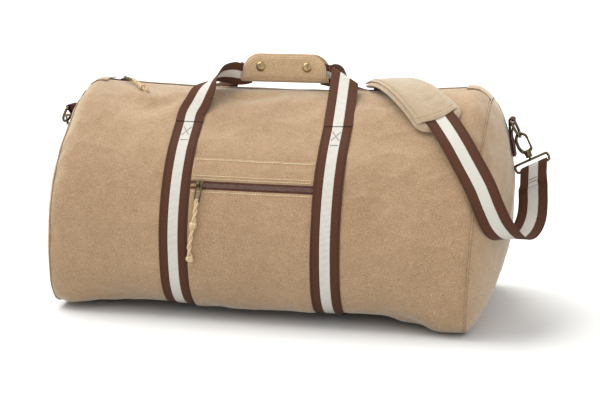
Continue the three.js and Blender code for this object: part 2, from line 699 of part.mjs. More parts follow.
// The two ends. The right clip hangs down, the left one is drawn round towards the back.
const ENDS = {
  right: { side: 1, barX: 313, arc: Math.PI / 2, down: [0.45, -0.16, -0.88], loopTurn: 0, square: 0,
    hang: [0, -0.05, -1] },
  left: { side: -1, barX: 301, arc: 0.75 * Math.PI, down: [0.24, 0.68, -0.69], loopTurn: 90, square: 1,
    hang: [0.05, 0.72, -0.69] },
};

// Everything here is built as a right end. The left one is mirrored across x = 0.
function endFrames(end) {
  const wireAt = ringWire(end.barX, end.arc);
  const along = ringWire(end.barX, end.arc + 0.01).sub(wireAt).normalize();
  const down = vec(...end.down);
  down.addScaledVector(along, -down.dot(along) * end.square).normalize();
  const sideways = along.clone().cross(down).normalize();
  if (sideways.x < 0) sideways.negate();
  return { origin: wireAt.addScaledVector(down, 10.2), down, sideways };
}

function buildEndHardware(name) {
  const end = ENDS[name];
  const mirror = (geometry) =>
    end.side > 0 ? geometry : fromManifold(toManifold(geometry).mirror([1, 0, 0]));
  const { origin, down, sideways } = endFrames(end);
  const across = down.clone().cross(sideways).negate();
  const local = (geometry) =>
    mirror(place(geometry, origin.toArray(), sideways.toArray(), across.toArray()));
  add("ring_tab_" + name, mirror(ringTab(end.barX, end.side)), webbing);
  add("d_ring_" + name, mirror(dRing(end.barX)), brass);
  add("snap_hook_" + name, local(snapHook()), brass);
  add("snap_gate_" + name, local(snapGate()), brass);
  const loop = fromManifold(toManifold(strapLoop()).rotate([0, 0, end.loopTurn]));
  add("strap_loop_" + name, local(loop), brass);
  const strapBar = origin.clone().addScaledVector(down, LOOP_DROP);
  const width = end.loopTurn ? across : sideways;
  add("strap_end_" + name, mirror(strapEnd(strapBar, width, end.hang)), webbing);
}

const RING_SLANT = 28; // degrees the ring leans out from straight down
const RING_DROP = 24; // centre of the bar to the foot of the ring
const RING_HALF = 17;

// A point of a ring's wire: 0 at the front end of its arc, a half turn later at the back end.
function ringWire(barX, turn) {
  const slant = THREE.MathUtils.degToRad(RING_SLANT);
  const y = -RING_HALF * Math.cos(turn);
  const drop = 8 + (RING_DROP - 8) * Math.sin(turn);
  return vec(barX + drop * Math.sin(slant), y, RING_Z - drop * Math.cos(slant));
}

// A D of round wire: a straight bar along Y and an arc hanging from it.
function dRing(barX) {
  const slant = THREE.MathUtils.degToRad(RING_SLANT);
  const down = vec(Math.sin(slant), 0, -Math.cos(slant));
  const at = (y, drop) => vec(barX, y, RING_Z).addScaledVector(down, drop).toArray();
  const half = RING_HALF;
  const points = [at(half - 3, 0), at(0, 0), at(-half + 3, 0), at(-half, 3)];
  const steps = 6;
  for (let i = 0; i <= steps; i++)
    points.push(ringWire(barX, (Math.PI * i) / steps).toArray());
  points.push(at(half, 3));
  const square = down.clone().cross(vec(0, 1, 0));
  return wire(points, square.toArray(), WIRE, 36, true);
}

const TAB_GAP = 1; // the end panel is faceted, so the tab stands a little off it

// Webbing folded round the ring's bar and sewn to the end panel below it.
function ringTab(barX, side) {
  const width = 27;
  const onPanel = (z, offset) => {
    const rho = Math.abs(z - END_CENTRE_Z) / (skinPoint(side, 1).z - END_CENTRE_Z);
    return vec(Math.abs(endPoint(side, rho, 1, offset).x), 0, z);
  };
  const clear = WIRE + 0.7 + WEB_THICK / 2;
  const points = [];
  for (const z of [210, 224, 238]) points.push(onPanel(z, TAB_GAP + WEB_THICK / 2).toArray());
  for (let i = 0; i <= 6; i++) {
    const a = Math.PI * (1 - i / 6);
    points.push([barX + clear * Math.cos(a), 0, RING_Z + clear * Math.sin(a)]);
  }
  for (const z of [238, 224, 210])
    points.push(onPanel(z, TAB_GAP + GAP + 1.5 * WEB_THICK).toArray());
  const path = points.map((at) => ({ at, across: [0, 1, 0] }));
  return ribbon(path, 36, width);
}

// The hook in its own axes: z points up to the ring, x sideways, y along the ring's wire.
function snapHook() {
  const crook = wire(
    [[0, 0, -12], [-5.5, 0, -8], [-7.6, 0, 0], [-6.4, 0, 9], [0, 0, 14.2], [6.4, 0, 9.6],
      [7.4, 0, 5.4]],
    [0, 1, 0], 2, 22,
  );
  const barrel = bar(8, 4.6, [0, 0, -15]);
  const foot = block([6, 4, 4], [4.4, 0, -10.4]);
  const bore = bar(7, 1.9, [0, 0, -17]);
  return fromManifold(joined(toManifold(crook), barrel, foot).subtract(bore));
}

// The sprung gate that closes the crook, hinged at its foot.
function snapGate() {
  const points = [[7.2, 0, -7.6], [7.3, 0, -3], [7.3, 0, 2.6]];
  return wire(points, [0, 1, 0], 1.4, 4);
}

// A flat oval loop of wire below the hook, with a stem up into the barrel.
function strapLoop() {
  const half = LOOP_HALF;
  const [top, bottom] = [-22.2, -LOOP_DROP];
  const round = (top - bottom) / 2;
  const middle = (top + bottom) / 2;
  const corner = 3.6; // where the straight bars end, short of the outermost point
  const right = [
    [half - corner, top], [half - 0.8, middle + 0.7 * round], [half, middle],
    [half - 0.8, middle - 0.7 * round], [half - corner, bottom],
  ];
  const left = right.map(([x, z]) => [-x, z]).reverse();
  const points = [[0, top], ...right, [0, bottom], ...left].map(([x, z]) => [x, 0, z]);
  const ring = wire(points, [0, 1, 0], LOOP_WIRE, 44, true);
  const stem = bar(8.4, 1.5, [0, 0, -18]);
  return fromManifold(joined(toManifold(ring), stem));
}

// The end of the shoulder strap, folded round the lower bar of the loop.
// The bar is tilted, so the webbing leaves it as a slanted band.
function strapEnd(strapBar, width, hang) {
  const clear = LOOP_WIRE + 1.6 + WEB_THICK / 2;
  const down = vec(...hang).normalize();
  const out = down.clone().cross(width).normalize();
  const at = (a, b) => strapBar.clone().addScaledVector(out, a).addScaledVector(down, -b);
  const points = [at(-clear + 1.5, -24), at(-clear + 1, -12)];
  for (let i = 0; i <= 6; i++) {
    const a = (Math.PI * i) / 6;
    points.push(at(-clear * Math.cos(a), clear * Math.sin(a)));
  }
  points.push(at(clear - 1, -12), at(clear - 1.5, -24));
  const curve = new THREE.CatmullRomCurve3(points);
  const frames = [];
  for (let i = 0; i <= 30; i++) {
    const along = curve.getTangent(i / 30);
    const up = along.clone().cross(width).normalize();
    frames.push({ p: curve.getPoint(i / 30), side: width, up });
  }
  return sweep(frames, rectangle(WEB_WIDTH - 1, WEB_THICK));
}

// ---- the shoulder strap with its pad and adjuster ----
// Points from the right loop over the top, down behind the bag and up to the left loop.
const SHOULDER_PATH = [
  { at: [343.2, -7.5, 182], across: [0.89, 0, 0.455] },
  { at: [343.4, -8.4, 168], across: [0.9, 0, 0.43] },
  { at: [344.6, -16, 150], across: [0.96, 0, 0.28] },
  { at: [344, -31, 134], across: [1, 0, 0.05] },
  { at: [339, -54, 122], across: [1, 0, 0] },
  { at: [331, -83, 119], across: [1, 0.02, 0] },
  { at: [322, -112, 126], across: [0.98, 0.05, 0.15] },
  { at: [311, -132, 143], across: [0.93, 0.1, 0.35] },
  { at: [301, -138, 165], across: [0.89, 0.12, 0.45] },
  { at: [289, -132, 190], across: [0.87, 0.2, 0.46] },
  { at: [272, -120, 216], across: [0.86, 0.25, 0.46] },
  { at: [254, -104, 241], across: [0.84, 0.32, 0.42] },
  { at: [236, -85, 261], across: [0.78, 0.45, 0.42] },
  { at: [214, -62, 281], across: [0.72, 0.6, 0.32] },
  { at: [190, -38, 297], across: [0.7, 0.68, 0.2] },
  { at: [168, -14, 304], across: [0.7, 0.7, 0.05] },
  { at: [148, 10, 302], across: [0.72, 0.68, -0.05] },
  { x: 142, v: 0.9, lift: 8 },
  { x: 146, v: 0.83, lift: 4.4 },
  { x: 144, v: 0.76, lift: 4.4 },
  { x: 132, v: 0.68, lift: 4.4 },
  { x: 106, v: 0.6, lift: 4.8 },
  { x: 66, v: 0.53, lift: 5 },
  { x: 10, v: 0.48, lift: 5.2 },
  { x: -60, v: 0.455, lift: 5.2 },
  { x: -130, v: 0.45, lift: 5.2 },
  { x: -200, v: 0.455, lift: 5.4 },
  { x: -244, v: 0.47, lift: 7 },
  { at: [-276, 154, 126], across: [0.12, -0.1, -0.98] },
  { at: [-300, 137, 138], across: [0.12, -0.28, -0.95] },
  { at: [-313, 110, 153], across: [0.1, -0.48, -0.87] },
  { at: [-319, 83, 172], across: [0, -0.64, -0.77] },
  { at: [-321.5, 60.6, 191], across: [-0.3, -0.72, -0.62] },
  { at: [-321, 52.4, 198.8], across: [-0.324, -0.726, -0.61] },
];
const PAD_FIRST = 12; // the pad's ends, as positions along the list above
const PAD_LAST = 16.5;
const ADJUSTER_AT = 24.5;

// The list as points and width directions. A place given on the skin lies flat on it.
function shoulderPoints() {
  const points = SHOULDER_PATH.map((k) => (k.at ? vec(...k.at) : over(k.x, k.v, k.lift)));
  const widths = [];
  SHOULDER_PATH.forEach((k, i) => {
    const flat = (along) => along.cross(skinNormal(uAt(k.x, k.v), k.v));
    const side = k.across ? vec(...k.across) : flat(points[i + 1].clone().sub(points[i - 1]));
    side.normalize();
    widths.push(i && side.dot(widths[i - 1]) < 0 ? side.negate() : side);
  });
  return [points, widths];
}

// Frames of the shoulder strap between two positions along its list of points.
// The webbing hangs slanted next to the tilted loops at its two ends.
function strapFrames(from, to, steps) {
  const last = SHOULDER_PATH.length - 1;
  const [points, acrosses] = shoulderPoints();
  const through = new THREE.CatmullRomCurve3(points);
  const widths = new THREE.CatmullRomCurve3(acrosses);
  const frames = [];
  for (let i = 0; i <= steps; i++) {
    const place = lerp(from, to, i / steps);
    const along = through.getTangent(place / last);
    const side = widths.getPoint(place / last).normalize();
    const square = smooth(0, 1.5, Math.min(place, last - place));
    side.addScaledVector(along, -side.dot(along) * square).normalize();
    frames.push({
      p: through.getPoint(place / last),
      side,
      up: along.clone().cross(side).normalize(),
    });
  }
  return frames;
}

function buildShoulderStrap() {
  const last = SHOULDER_PATH.length - 1;
  const whole = strapFrames(0, last, 9 * last);
  add("shoulder_strap", sweep(whole, rectangle(WEB_WIDTH, WEB_THICK)), webbing);
  const pad = strapFrames(PAD_FIRST, PAD_LAST, 6 * (PAD_LAST - PAD_FIRST));
  const out = pad[0].up.z > 0 ? 1 : -1;
  const layer = (width, low, high) => {
    const section = [
      [-width / 2, out * low],
      [width / 2, out * low],
      [width / 2, out * high],
      [-width / 2, out * high],
    ];
    return sweep(pad, section);
  };
  add("shoulder_pad_base", layer(60, -5.4, -1.4), lightCanvas);
  add("shoulder_pad_sleeve", layer(54, 1.4, 2.9), lightCanvas);
  buildAdjuster();
}

// A three-bar slide: two bars outside the strap, one inside, joined by rails beside it.
function buildAdjuster() {
  const [f] = strapFrames(ADJUSTER_AT, ADJUSTER_AT + 0.1, 1);
  const thick = 1.8;
  const stand = WEB_THICK / 2 + 0.4 + thick / 2;
  const width = WEB_WIDTH + 2 * 3.4;
  const parts = [
    block([2.6, width, thick], [-10, 0, stand]),
    block([2.6, width, thick], [10, 0, stand]),
    block([2.6, width, thick], [0, 0, -stand]),
  ];
  for (const side of [-1, 1])
    parts.push(block([22.6, 2.6, 2 * stand + thick], [0, side * (width / 2 - 1.3), 0]));
  const along = f.side.clone().cross(f.up);
  const frame = fromManifold(joined(...parts));
  add("strap_adjuster", place(frame, f.p.toArray(), along.toArray(), f.side.toArray()), brass);
}

buildBody();
buildMainZip();
buildPocket();
buildStraps();
buildHandles();
buildGrip();
buildEndHardware("right");
buildEndHardware("left");
buildShoulderStrap();

export default bag;
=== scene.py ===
import json
import math

import bpy
import numpy as np
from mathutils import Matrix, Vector, noise

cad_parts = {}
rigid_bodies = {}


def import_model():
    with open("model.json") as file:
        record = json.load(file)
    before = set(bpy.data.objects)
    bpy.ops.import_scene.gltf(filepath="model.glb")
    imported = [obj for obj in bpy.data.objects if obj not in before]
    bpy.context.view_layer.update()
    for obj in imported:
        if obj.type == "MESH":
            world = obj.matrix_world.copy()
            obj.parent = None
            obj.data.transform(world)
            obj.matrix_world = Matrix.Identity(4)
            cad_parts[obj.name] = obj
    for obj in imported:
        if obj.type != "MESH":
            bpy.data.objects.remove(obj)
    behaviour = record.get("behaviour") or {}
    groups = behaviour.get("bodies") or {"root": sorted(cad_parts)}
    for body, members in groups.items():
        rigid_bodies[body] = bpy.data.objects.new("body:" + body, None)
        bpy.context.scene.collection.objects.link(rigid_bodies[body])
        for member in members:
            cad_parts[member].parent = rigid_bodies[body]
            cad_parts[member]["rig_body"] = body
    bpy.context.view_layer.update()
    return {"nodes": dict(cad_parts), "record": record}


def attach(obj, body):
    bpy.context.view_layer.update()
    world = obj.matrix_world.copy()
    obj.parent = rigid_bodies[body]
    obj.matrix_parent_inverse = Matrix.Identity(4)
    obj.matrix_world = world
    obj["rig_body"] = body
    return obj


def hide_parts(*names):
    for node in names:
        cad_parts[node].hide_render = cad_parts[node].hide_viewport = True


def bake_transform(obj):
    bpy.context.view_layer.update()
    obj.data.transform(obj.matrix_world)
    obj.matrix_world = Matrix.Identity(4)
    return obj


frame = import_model()

MM = 0.001
FRAME_X = -17 * MM  # the same shift as the CAD's
WEB_WIDTH = 38 * MM
WEB_THICK = 1.4 * MM
CLOTH_THICK = 1.4 * MM
BAG_HEIGHT = 288 * MM
ZIP_RADIUS = 3306.25 * MM
STRAP_X = 100 * MM
GIRTH = 0.44  # half the girth, for lengths measured by a share of it
LIFT_OFF = 0.776  # where the handles leave the straps
BASE_EDGE = 0.166
TOP_EDGE = 0.978
ZIP_LINE = 0.585
POCKET_HALF = 80.4 * MM
END_CENTRE_Z = 140 * MM
LEFT_END_SHARE = 0.6
SEAM_WAVE = 7.5 * MM

# ---- camera, floor and lights ----


def build_camera():
    data = bpy.data.cameras.new("camera")
    data.lens = 77.0
    data.sensor_width = 36.0
    camera = bpy.data.objects.new("camera", data)
    camera.location = (0.4559 + FRAME_X, -1.6648, 0.4721)
    azimuth, elevation = math.radians(14.35), math.radians(11.03)
    camera.rotation_euler = (math.pi / 2 - elevation, 0, azimuth)
    bpy.context.collection.objects.link(camera)
    bpy.context.scene.camera = camera


def sun(name, toward, strength, spread, colour=(1, 1, 1)):
    """A distant soft light that shines from a direction."""
    data = bpy.data.lights.new(name, "SUN")
    data.energy = strength
    data.angle = math.radians(spread)
    data.color = colour
    light = bpy.data.objects.new(name, data)
    light.rotation_euler = (-Vector(toward)).to_track_quat("-Z", "Y").to_euler()
    bpy.context.collection.objects.link(light)


def build_studio():
    scene = bpy.context.scene
    scene.view_settings.view_transform = "Standard"
    world = bpy.data.worlds.new("studio")
    scene.world = world
    world.use_nodes = True
    background = world.node_tree.nodes["Background"]
    background.inputs["Color"].default_value = (0.99, 0.995, 1.0, 1)
    background.inputs["Strength"].default_value = 0.97
    sun("key", (-0.5, 0.16, 0.86), 3.7, 60, (1.0, 1.0, 0.955))
    sun("fill", (0.85, -0.5, 0.3), 0.35, 60)
    bpy.ops.mesh.primitive_plane_add(size=60, location=(0, 0, -0.0005))
    floor = bpy.context.object
    floor.name = "floor"
    material, _, shader = new_material("studio_floor")
    set_inputs(shader, {"Base Color": (0.70, 0.70, 0.70, 1), "Roughness": 1.0, "Specular IOR Level": 0.0})
    floor.data.materials.append(material)


# ---- the bag's surface, the same as the CAD's ----

MIDDLE_SECTION = MM * np.array([
    [0, 9], [60, 9], [96, 10.5], [126, 22], [144, 49], [150, 92], [147, 133],
    [134, 176], [112, 214], [86, 241], [54, 269], [27, 283], [0, 288],
])
END_SECTION = MM * np.array([
    [0, 0], [70, 0], [112, 1.2], [140, 10], [152, 44], [152, 92], [146, 136],
    [132, 178], [110, 215], [85, 243], [54, 269.5], [27, 283.5], [0, 288],
])


def smooth(a, b, x):
    t = np.clip((x - a) / (b - a), 0, 1)
    return t * t * (3 - 2 * t)


def unit(v):
    v = np.asarray(v, float)
    return v / np.maximum(np.linalg.norm(v, axis=-1, keepdims=True), 1e-12)


def spline(rows, at):
    """A smooth curve through rows, whose first and last rows only set its slope."""
    i = np.minimum(at.astype(int), len(rows) - 4)
    f = (at - i)[..., None]
    a, b, c, d = (rows[i + k] for k in range(4))
    return 0.5 * (2 * b + (c - a) * f + (2 * a - 5 * b + 4 * c - d) * f**2 + (3 * b - a - 3 * c + d) * f**3)


def section_at(table, share):
    mirror = np.array([-1, 1])
    rows = np.vstack([table[1] * mirror, table, table[-2] * mirror])
    return spline(rows, np.clip(share, 0, 1) * (len(table) - 1))


def seam_x(u, height):
    w = np.clip(height / BAG_HEIGHT, 0, 1)
    return np.where(u > 0, (274 + 13 * w) * MM, (276 - 6 * w) * MM)


def skin_point(u, v):
    """The smooth skin: u runs from seam to seam, v from the zip round the base to the zip."""
    v = np.where(np.abs(v) > 1, v - 2 * np.sign(v), v)
    share = np.abs(v)
    ends = (smooth(0.6, 0.94, np.abs(u)) * np.where(u < 0, LEFT_END_SHARE, 1.0))[..., None]
    section = section_at(MIDDLE_SECTION, share) * (1 - ends) + section_at(END_SECTION, share) * ends
    depth, height = section[..., 0], section[..., 1]
    x = u * seam_x(u, height)
    w = height / BAG_HEIGHT
    crest = np.minimum(np.abs(x), 262 * MM) ** 2 * w**3 / (2 * ZIP_RADIUS)
    pinch = np.clip((np.abs(u) - 0.92) / 0.08, 0, 1) ** 2
    y = depth * (1 - 0.03 * pinch) * np.where(v < 0, -1, 1)
    z = (height + crest) * (1 - 0.05 * pinch * smooth(0.15, 0.9, w))
    return np.stack([x + FRAME_X, y, z], -1)


def skin_normal(u, v):
    step = 0.002
    along_u = skin_point(u + step, v) - skin_point(u - step, v)
    along_v = skin_point(u, v + step) - skin_point(u, v - step)
    return unit(np.cross(along_v, along_u))


def u_at(x, v):
    """u at an x measured from the middle between the two straps."""
    x, v = np.broadcast_arrays(np.asarray(x, float), np.asarray(v, float))
    u = x / (274 * MM)
    for _ in range(4):
        u = x / seam_x(u, skin_point(u, v)[..., 2])
    return u


def over_skin(x, v, lift):
    """A place above the smooth skin, and the outward direction there."""
    v = np.asarray(v, float)
    u = u_at(x, v)
    normal = skin_normal(u, v)
    return skin_point(u, v) + normal * lift, normal


def noise_at(points, scale, seed=0.0):
    flat = points.reshape(-1, 3) * scale + seed
    values = [noise.noise(Vector(p)) for p in flat]
    return np.array(values).reshape(points.shape[:-1])


def ridges(points, scale, seed):
    """Narrow folds where the noise crosses zero, 0 to 1."""
    return np.clip(1 - np.abs(noise_at(points, scale, seed)) * 2, 0, 1) ** 3


# Creases of the slack canvas: x and share of each end, half the width, and the depth, in mm.
CREASES = [
    (-235, -0.90, -150, -0.80, 15, 2.6),
    (-190, -0.83, -122, -0.86, 10, 1.8),
    (-225, -0.74, -160, -0.66, 17, 1.5),
    (-75, -0.88, 20, -0.93, 12, 2.4),
    (-78, -0.80, -20, -0.74, 13, 1.4),
    (20, -0.82, 76, -0.88, 12, 1.6),
    (124, -0.90, 170, -0.84, 12, 2.0),
    (126, -0.78, 190, -0.70, 15, 1.4),
    (200, -0.60, 255, -0.50, 16, 1.3),
    (150, -0.30, 255, -0.24, 13, 1.6),
    (-250, -0.35, -150, -0.27, 15, 1.5),
    (-40, -0.24, 60, -0.21, 9, 1.8),
    (-215, 0.85, -130, 0.76, 15, 2.4),
    (-70, 0.90, 30, 0.84, 13, 2.2),
    (130, 0.80, 220, 0.70, 16, 2.0),
    (-60, 0.60, 70, 0.52, 18, 1.8),
    (-240, 0.45, -140, 0.36, 16, 1.6),
    (130, 0.40, 240, 0.32, 15, 1.6),
]


def rumple(u, v, points):
    """How far the cloth stands off the smooth skin."""
    x = points[..., 0] - FRAME_X
    broad = 2.0 * MM * noise_at(points, 8, 3.1)
    fine = 0.55 * MM * noise_at(points, 34, 7.7) + 0.28 * MM * noise_at(points, 80, 1.3)
    total = broad + fine + 1.1 * MM * ridges(points * [1.0, 1.0, 1.7], 17, 9.2) - 0.7 * MM
    for x0, v0, x1, v1, half, depth in CREASES:
        half, depth = half * MM, depth * MM
        dx, dy = (x1 - x0) * MM, (v1 - v0) * GIRTH
        px, py = x - x0 * MM, (v - v0) * GIRTH
        along = np.clip((px * dx + py * dy) / (dx * dx + dy * dy), 0, 1)
        bend = 0.012 * np.sin(along * math.pi)
        far = np.hypot(px - along * dx, py - along * dy - bend)
        fade = depth * np.sin(np.clip(along, 0.02, 0.98) * math.pi) ** 0.6
        total -= fade * np.exp(-((far / half) ** 2))
        total += 0.5 * fade * np.exp(-((far / half - 1.8) ** 2))
    seam = smooth(0.93, 1.0, np.abs(u))
    pucker = 1.1 * MM * np.sin(v * GIRTH / SEAM_WAVE + 5 * noise_at(points, 12, 4.4))
    total = total * (1 - 0.75 * seam) + pucker * seam * (1 - smooth(0.985, 1.0, np.abs(u)))
    hem = np.exp(-(((np.abs(v) - BASE_EDGE - 0.05) / 0.035) ** 2))
    total += 1.3 * MM * hem * np.sin(x / (19 * MM) + 6 * noise_at(points, 9, 2.2))
    total *= 1 - 0.8 * smooth(0.93, 0.985, np.abs(v))
    strap = np.exp(-(((np.abs(x) - STRAP_X) / (17 * MM)) ** 4)) * (1 - smooth(LIFT_OFF, 0.87, np.abs(v)))
    return total * (1 - 0.85 * strap) - 0.6 * MM * strap


def cloth(u, v, offset=0.0):
    """The rumpled cloth, or a surface at an offset from it, never below the floor."""
    u, v = np.broadcast_arrays(np.asarray(u, float), np.asarray(v, float))
    base = skin_point(u, v)
    points = base + skin_normal(u, v) * (rumple(u, v, base) + offset)[..., None]
    points[..., 2] = np.maximum(points[..., 2], 0.0)
    return points


# ---- lines ----


def arc_length(points):
    """The distance along a line at each of its points."""
    return np.concatenate([[0], np.cumsum(np.linalg.norm(np.diff(points, axis=0), axis=1))])


def sample(at, places, rows):
    """Rows that stand at places, interpolated."""
    return np.stack([np.interp(at, places, column) for column in np.transpose(rows)], -1)


def tangents_of(points, closed=False):
    if closed:
        return unit(np.roll(points, -1, 0) - np.roll(points, 1, 0))
    return unit(np.vstack([points[1:], points[-1:]]) - np.vstack([points[:1], points[:-1]]))


def frames_along(points, closed=False, start=None):
    """Tangents and two square directions that turn as little as they can."""
    tangents = tangents_of(points, closed)
    side = np.array([0.3, 0.9, 0.25] if start is None else start, float)
    sides = []
    for t in tangents:
        side = unit(side - t * np.dot(side, t))
        sides.append(side)
    return tangents, np.array(sides), np.cross(tangents, sides)


def catmull(points, count, closed=False):
    """A smooth curve through points, at evenly spaced parameters."""
    p = np.asarray(points, float)
    if closed:
        return spline(np.vstack([p[-1:], p, p[:2]]), np.arange(count) * len(p) / count)
    rows = np.vstack([2 * p[:1] - p[1:2], p, 2 * p[-1:] - p[-2:-1]])
    return spline(rows, np.linspace(0, len(p) - 1, count))


def even(points, step):
    """The same line with points an even step apart."""
    points = np.asarray(points, float)
    length = arc_length(points)
    count = max(2, int(round(length[-1] / step)) + 1)
    return sample(np.linspace(0, length[-1], count), length, points)


def circle(count):
    """Cosines and sines of evenly spaced angles."""
    turn = np.arange(count) * 2 * math.pi / count
    return np.cos(turn)[:, None], np.sin(turn)[:, None]


# ---- meshes: each is (points, faces, uvs) ----


def shade_smooth(mesh, angle):
    mesh.polygons.foreach_set("use_smooth", [True] * len(mesh.polygons))
    mesh.set_sharp_from_angle(angle=math.radians(angle))


def make_object(name, parts, material, replaces=None, body="bag", smooth_angle=40):
    verts, faces, uvs = parts
    mesh = bpy.data.meshes.new(name)
    mesh.from_pydata([tuple(p) for p in verts], [], faces)
    layer = mesh.uv_layers.new(name="weave")
    loops = np.zeros(len(mesh.loops), int)
    mesh.loops.foreach_get("vertex_index", loops)
    layer.data.foreach_set("uv", np.asarray(uvs, float)[loops].ravel())
    shade_smooth(mesh, smooth_angle)
    mesh.update()
    mesh.materials.append(material)
    obj = bpy.data.objects.new(name, mesh)
    bpy.context.collection.objects.link(obj)
    if body:
        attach(obj, body)
    if replaces:
        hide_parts(replaces)
    return obj


def closed(parts):
    """A closed mesh with its faces turned round if it is inside out as a whole."""
    verts, faces, uvs = parts
    volume = 0.0
    for size in {len(face) for face in faces}:
        corners = verts[np.array([face for face in faces if len(face) == size])]
        for i in range(1, size - 1):
            volume += np.sum(corners[:, 0] * np.cross(corners[:, i], corners[:, i + 1]))
    return verts, faces if volume > 0 else [face[::-1] for face in faces], uvs


def merge(meshes):
    verts, faces, uvs = [], [], []
    total = 0
    for v, f, uv in meshes:
        verts.append(v)
        uvs.append(uv)
        faces += [tuple(i + total for i in face) for face in f]
        total += len(v)
    return np.vstack(verts), faces, np.vstack(uvs)


def ring_faces(rings, sides, wrap=False):
    """Faces between rings of vertices, with flat ends unless the rings close on themselves."""
    faces = []
    for i in range(rings if wrap else rings - 1):
        a, b = i * sides, (i + 1) % rings * sides
        for j in range(sides):
            k = (j + 1) % sides
            faces.append((a + j, a + k, b + k, b + j))
    if not wrap:
        faces.append(tuple(range(sides))[::-1])
        faces.append(tuple(range((rings - 1) * sides, rings * sides)))
    return faces


def uv_grid(across, along):
    return np.stack(np.broadcast_arrays(across, along), -1).reshape(-1, 2)


def sheet_mesh(outer, inner, across, along):
    """A closed sheet between two grids of points."""
    n, m = outer.shape[:2]
    layer = n * m
    faces = []
    for i in range(n - 1):
        for j in range(m - 1):
            a, b = i * m + j, (i + 1) * m + j
            faces.append((a, a + 1, b + 1, b))
            faces.append((layer + a, layer + b, layer + b + 1, layer + a + 1))
    cells = np.arange(layer).reshape(n, m)
    rim = [*cells[0], *cells[1:, -1], *cells[-1, -2::-1], *cells[-2:0:-1, 0]]
    rim = [int(i) for i in rim]
    faces += [(a, layer + a, layer + b, b) for a, b in zip(rim, rim[1:] + rim[:1])]
    verts = np.concatenate([inner.reshape(-1, 3), outer.reshape(-1, 3)])
    uv = uv_grid(across, along)
    return closed((verts, faces, np.concatenate([uv, uv])))


def sheet_on_skin(u, v, low, high, edge=0.8 * MM, puff=0.0):
    """A piece of cloth on the bag between two offsets, its rim rounded over."""
    uu, vv = np.meshgrid(u, v, indexing="ij")
    s = np.linspace(0, 1, len(u))[:, None]
    t = np.linspace(0, 1, len(v))[None, :]
    base = skin_point(uu, vv)
    normal = skin_normal(uu, vv)
    lift = rumple(uu, vv, base) + puff * (np.sin(math.pi * s) * np.sin(math.pi * t)) ** 0.7
    top = np.full(uu.shape, high - edge)
    top[1:-1, 1:-1] = high
    outer = base + normal * (lift + top)[..., None]
    inner = base + normal * (lift + low)[..., None]
    outer[..., 2] = np.maximum(outer[..., 2], 0.0)
    inner[..., 2] = np.maximum(inner[..., 2], 1.2 * MM)
    return sheet_mesh(outer, inner, uu * 0.275, vv * GIRTH)


def tube_mesh(points, radius, sides=12, loop=False, start=None):
    """A round rod along points, with a radius for all or one for each, rounded at open ends."""
    points = np.asarray(points, float)
    radii = np.broadcast_to(np.asarray(radius, float), (len(points),))
    if not loop:
        rounding = np.array([[0.95, 0.12], [0.8, 0.5], [0.45, 0.86]])
        tangents = tangents_of(points)
        reach = rounding[:, :1]
        first = points[0] - tangents[0] * radii[0] * reach
        last = points[-1] + tangents[-1] * radii[-1] * reach[::-1]
        points = np.vstack([first, points, last])
        radii = np.concatenate([radii[0] * rounding[:, 1], radii, radii[-1] * rounding[::-1, 1]])
    _, a, b = frames_along(points, loop, start)
    cosines, sines = circle(sides)
    verts = points[:, None] + (cosines * a[:, None] + sines * b[:, None]) * radii[:, None, None]
    uv = uv_grid(np.arange(sides)[None, :] / sides, arc_length(points)[:, None])
    return verts.reshape(-1, 3), ring_faces(len(points), sides, loop), uv


def ribbon_mesh(points, sides, width=WEB_WIDTH, across=9):
    """Flat webbing along points. sides are its width directions; its rim is rounded."""
    sides = unit(sides)
    normals = unit(np.cross(tangents_of(points), sides))
    a = np.linspace(-1, 1, across)
    half = WEB_THICK / 2 * np.where(np.abs(a) > 0.97, 0.45, 1.0)
    wide = np.concatenate([a, a[::-1]]) * width / 2
    high = np.concatenate([half, -half[::-1]])
    verts = points[:, None] + sides[:, None] * wide[:, None] + normals[:, None] * high[:, None]
    uv = uv_grid((wide / width + 0.5)[None, :], arc_length(points)[:, None])
    return closed((verts.reshape(-1, 3), ring_faces(len(points), len(wide)), uv))


# One stitch from end to end: place, thickness and height.
STITCH = np.array([
    [0.0, 0.25, -0.2], [0.18, 0.9, 0.25], [0.5, 1.0, 0.55], [0.82, 0.9, 0.25], [1.0, 0.25, -0.2],
])


def stitch_mesh(line, normals, pitch=3.2 * MM, share=0.7, radius=0.34 * MM):
    """Threads lying end to end along a line on a surface."""
    length = arc_length(line)
    count = max(1, int(length[-1] / pitch))
    start = (length[-1] - count * pitch) / 2 + pitch * (1 - share) / 2
    cosines, sines = circle(5)
    faces = ring_faces(len(STITCH), 5)
    parts = []
    for k in range(count):
        at = start + k * pitch + STITCH[:, 0] * pitch * share
        p = sample(at, length, line)
        n = unit(sample(at, length, normals))
        side = unit(np.cross(unit(p[-1] - p[0]), n[2]))
        centre = p + n * (STITCH[:, 2:] * radius)
        ring = cosines * side + sines * n[2]
        verts = centre[:, None] + ring * (radius * STITCH[:, 1])[:, None, None]
        parts.append((verts.reshape(-1, 3), faces, np.zeros((25, 2))))
    return merge(parts)


def turned_mesh(profile, place, axis, side, sides):
    """A turned piece: profile of (radius, height) in mm along axis, from axis to axis."""
    cosines, sines = circle(sides)
    ring = cosines * side + sines * np.cross(axis, side)
    verts, rows = [], []
    for radius, height in profile:
        count = sides if radius else 1
        rows.append([len(verts) + j % count for j in range(sides)])
        verts += list(place + axis * height * MM + ring[:count] * radius * MM)
    faces = []
    for a, b in zip(rows, rows[1:]):
        for j in range(sides):
            k = (j + 1) % sides
            faces.append(tuple(dict.fromkeys([a[j], a[k], b[k], b[j]])))
    return closed((np.array(verts), faces, np.zeros((len(verts), 2))))


# ---- materials ----


def new_material(name):
    material = bpy.data.materials.new(name)
    material.use_nodes = True
    tree = material.node_tree
    return material, tree, tree.nodes["Principled BSDF"]


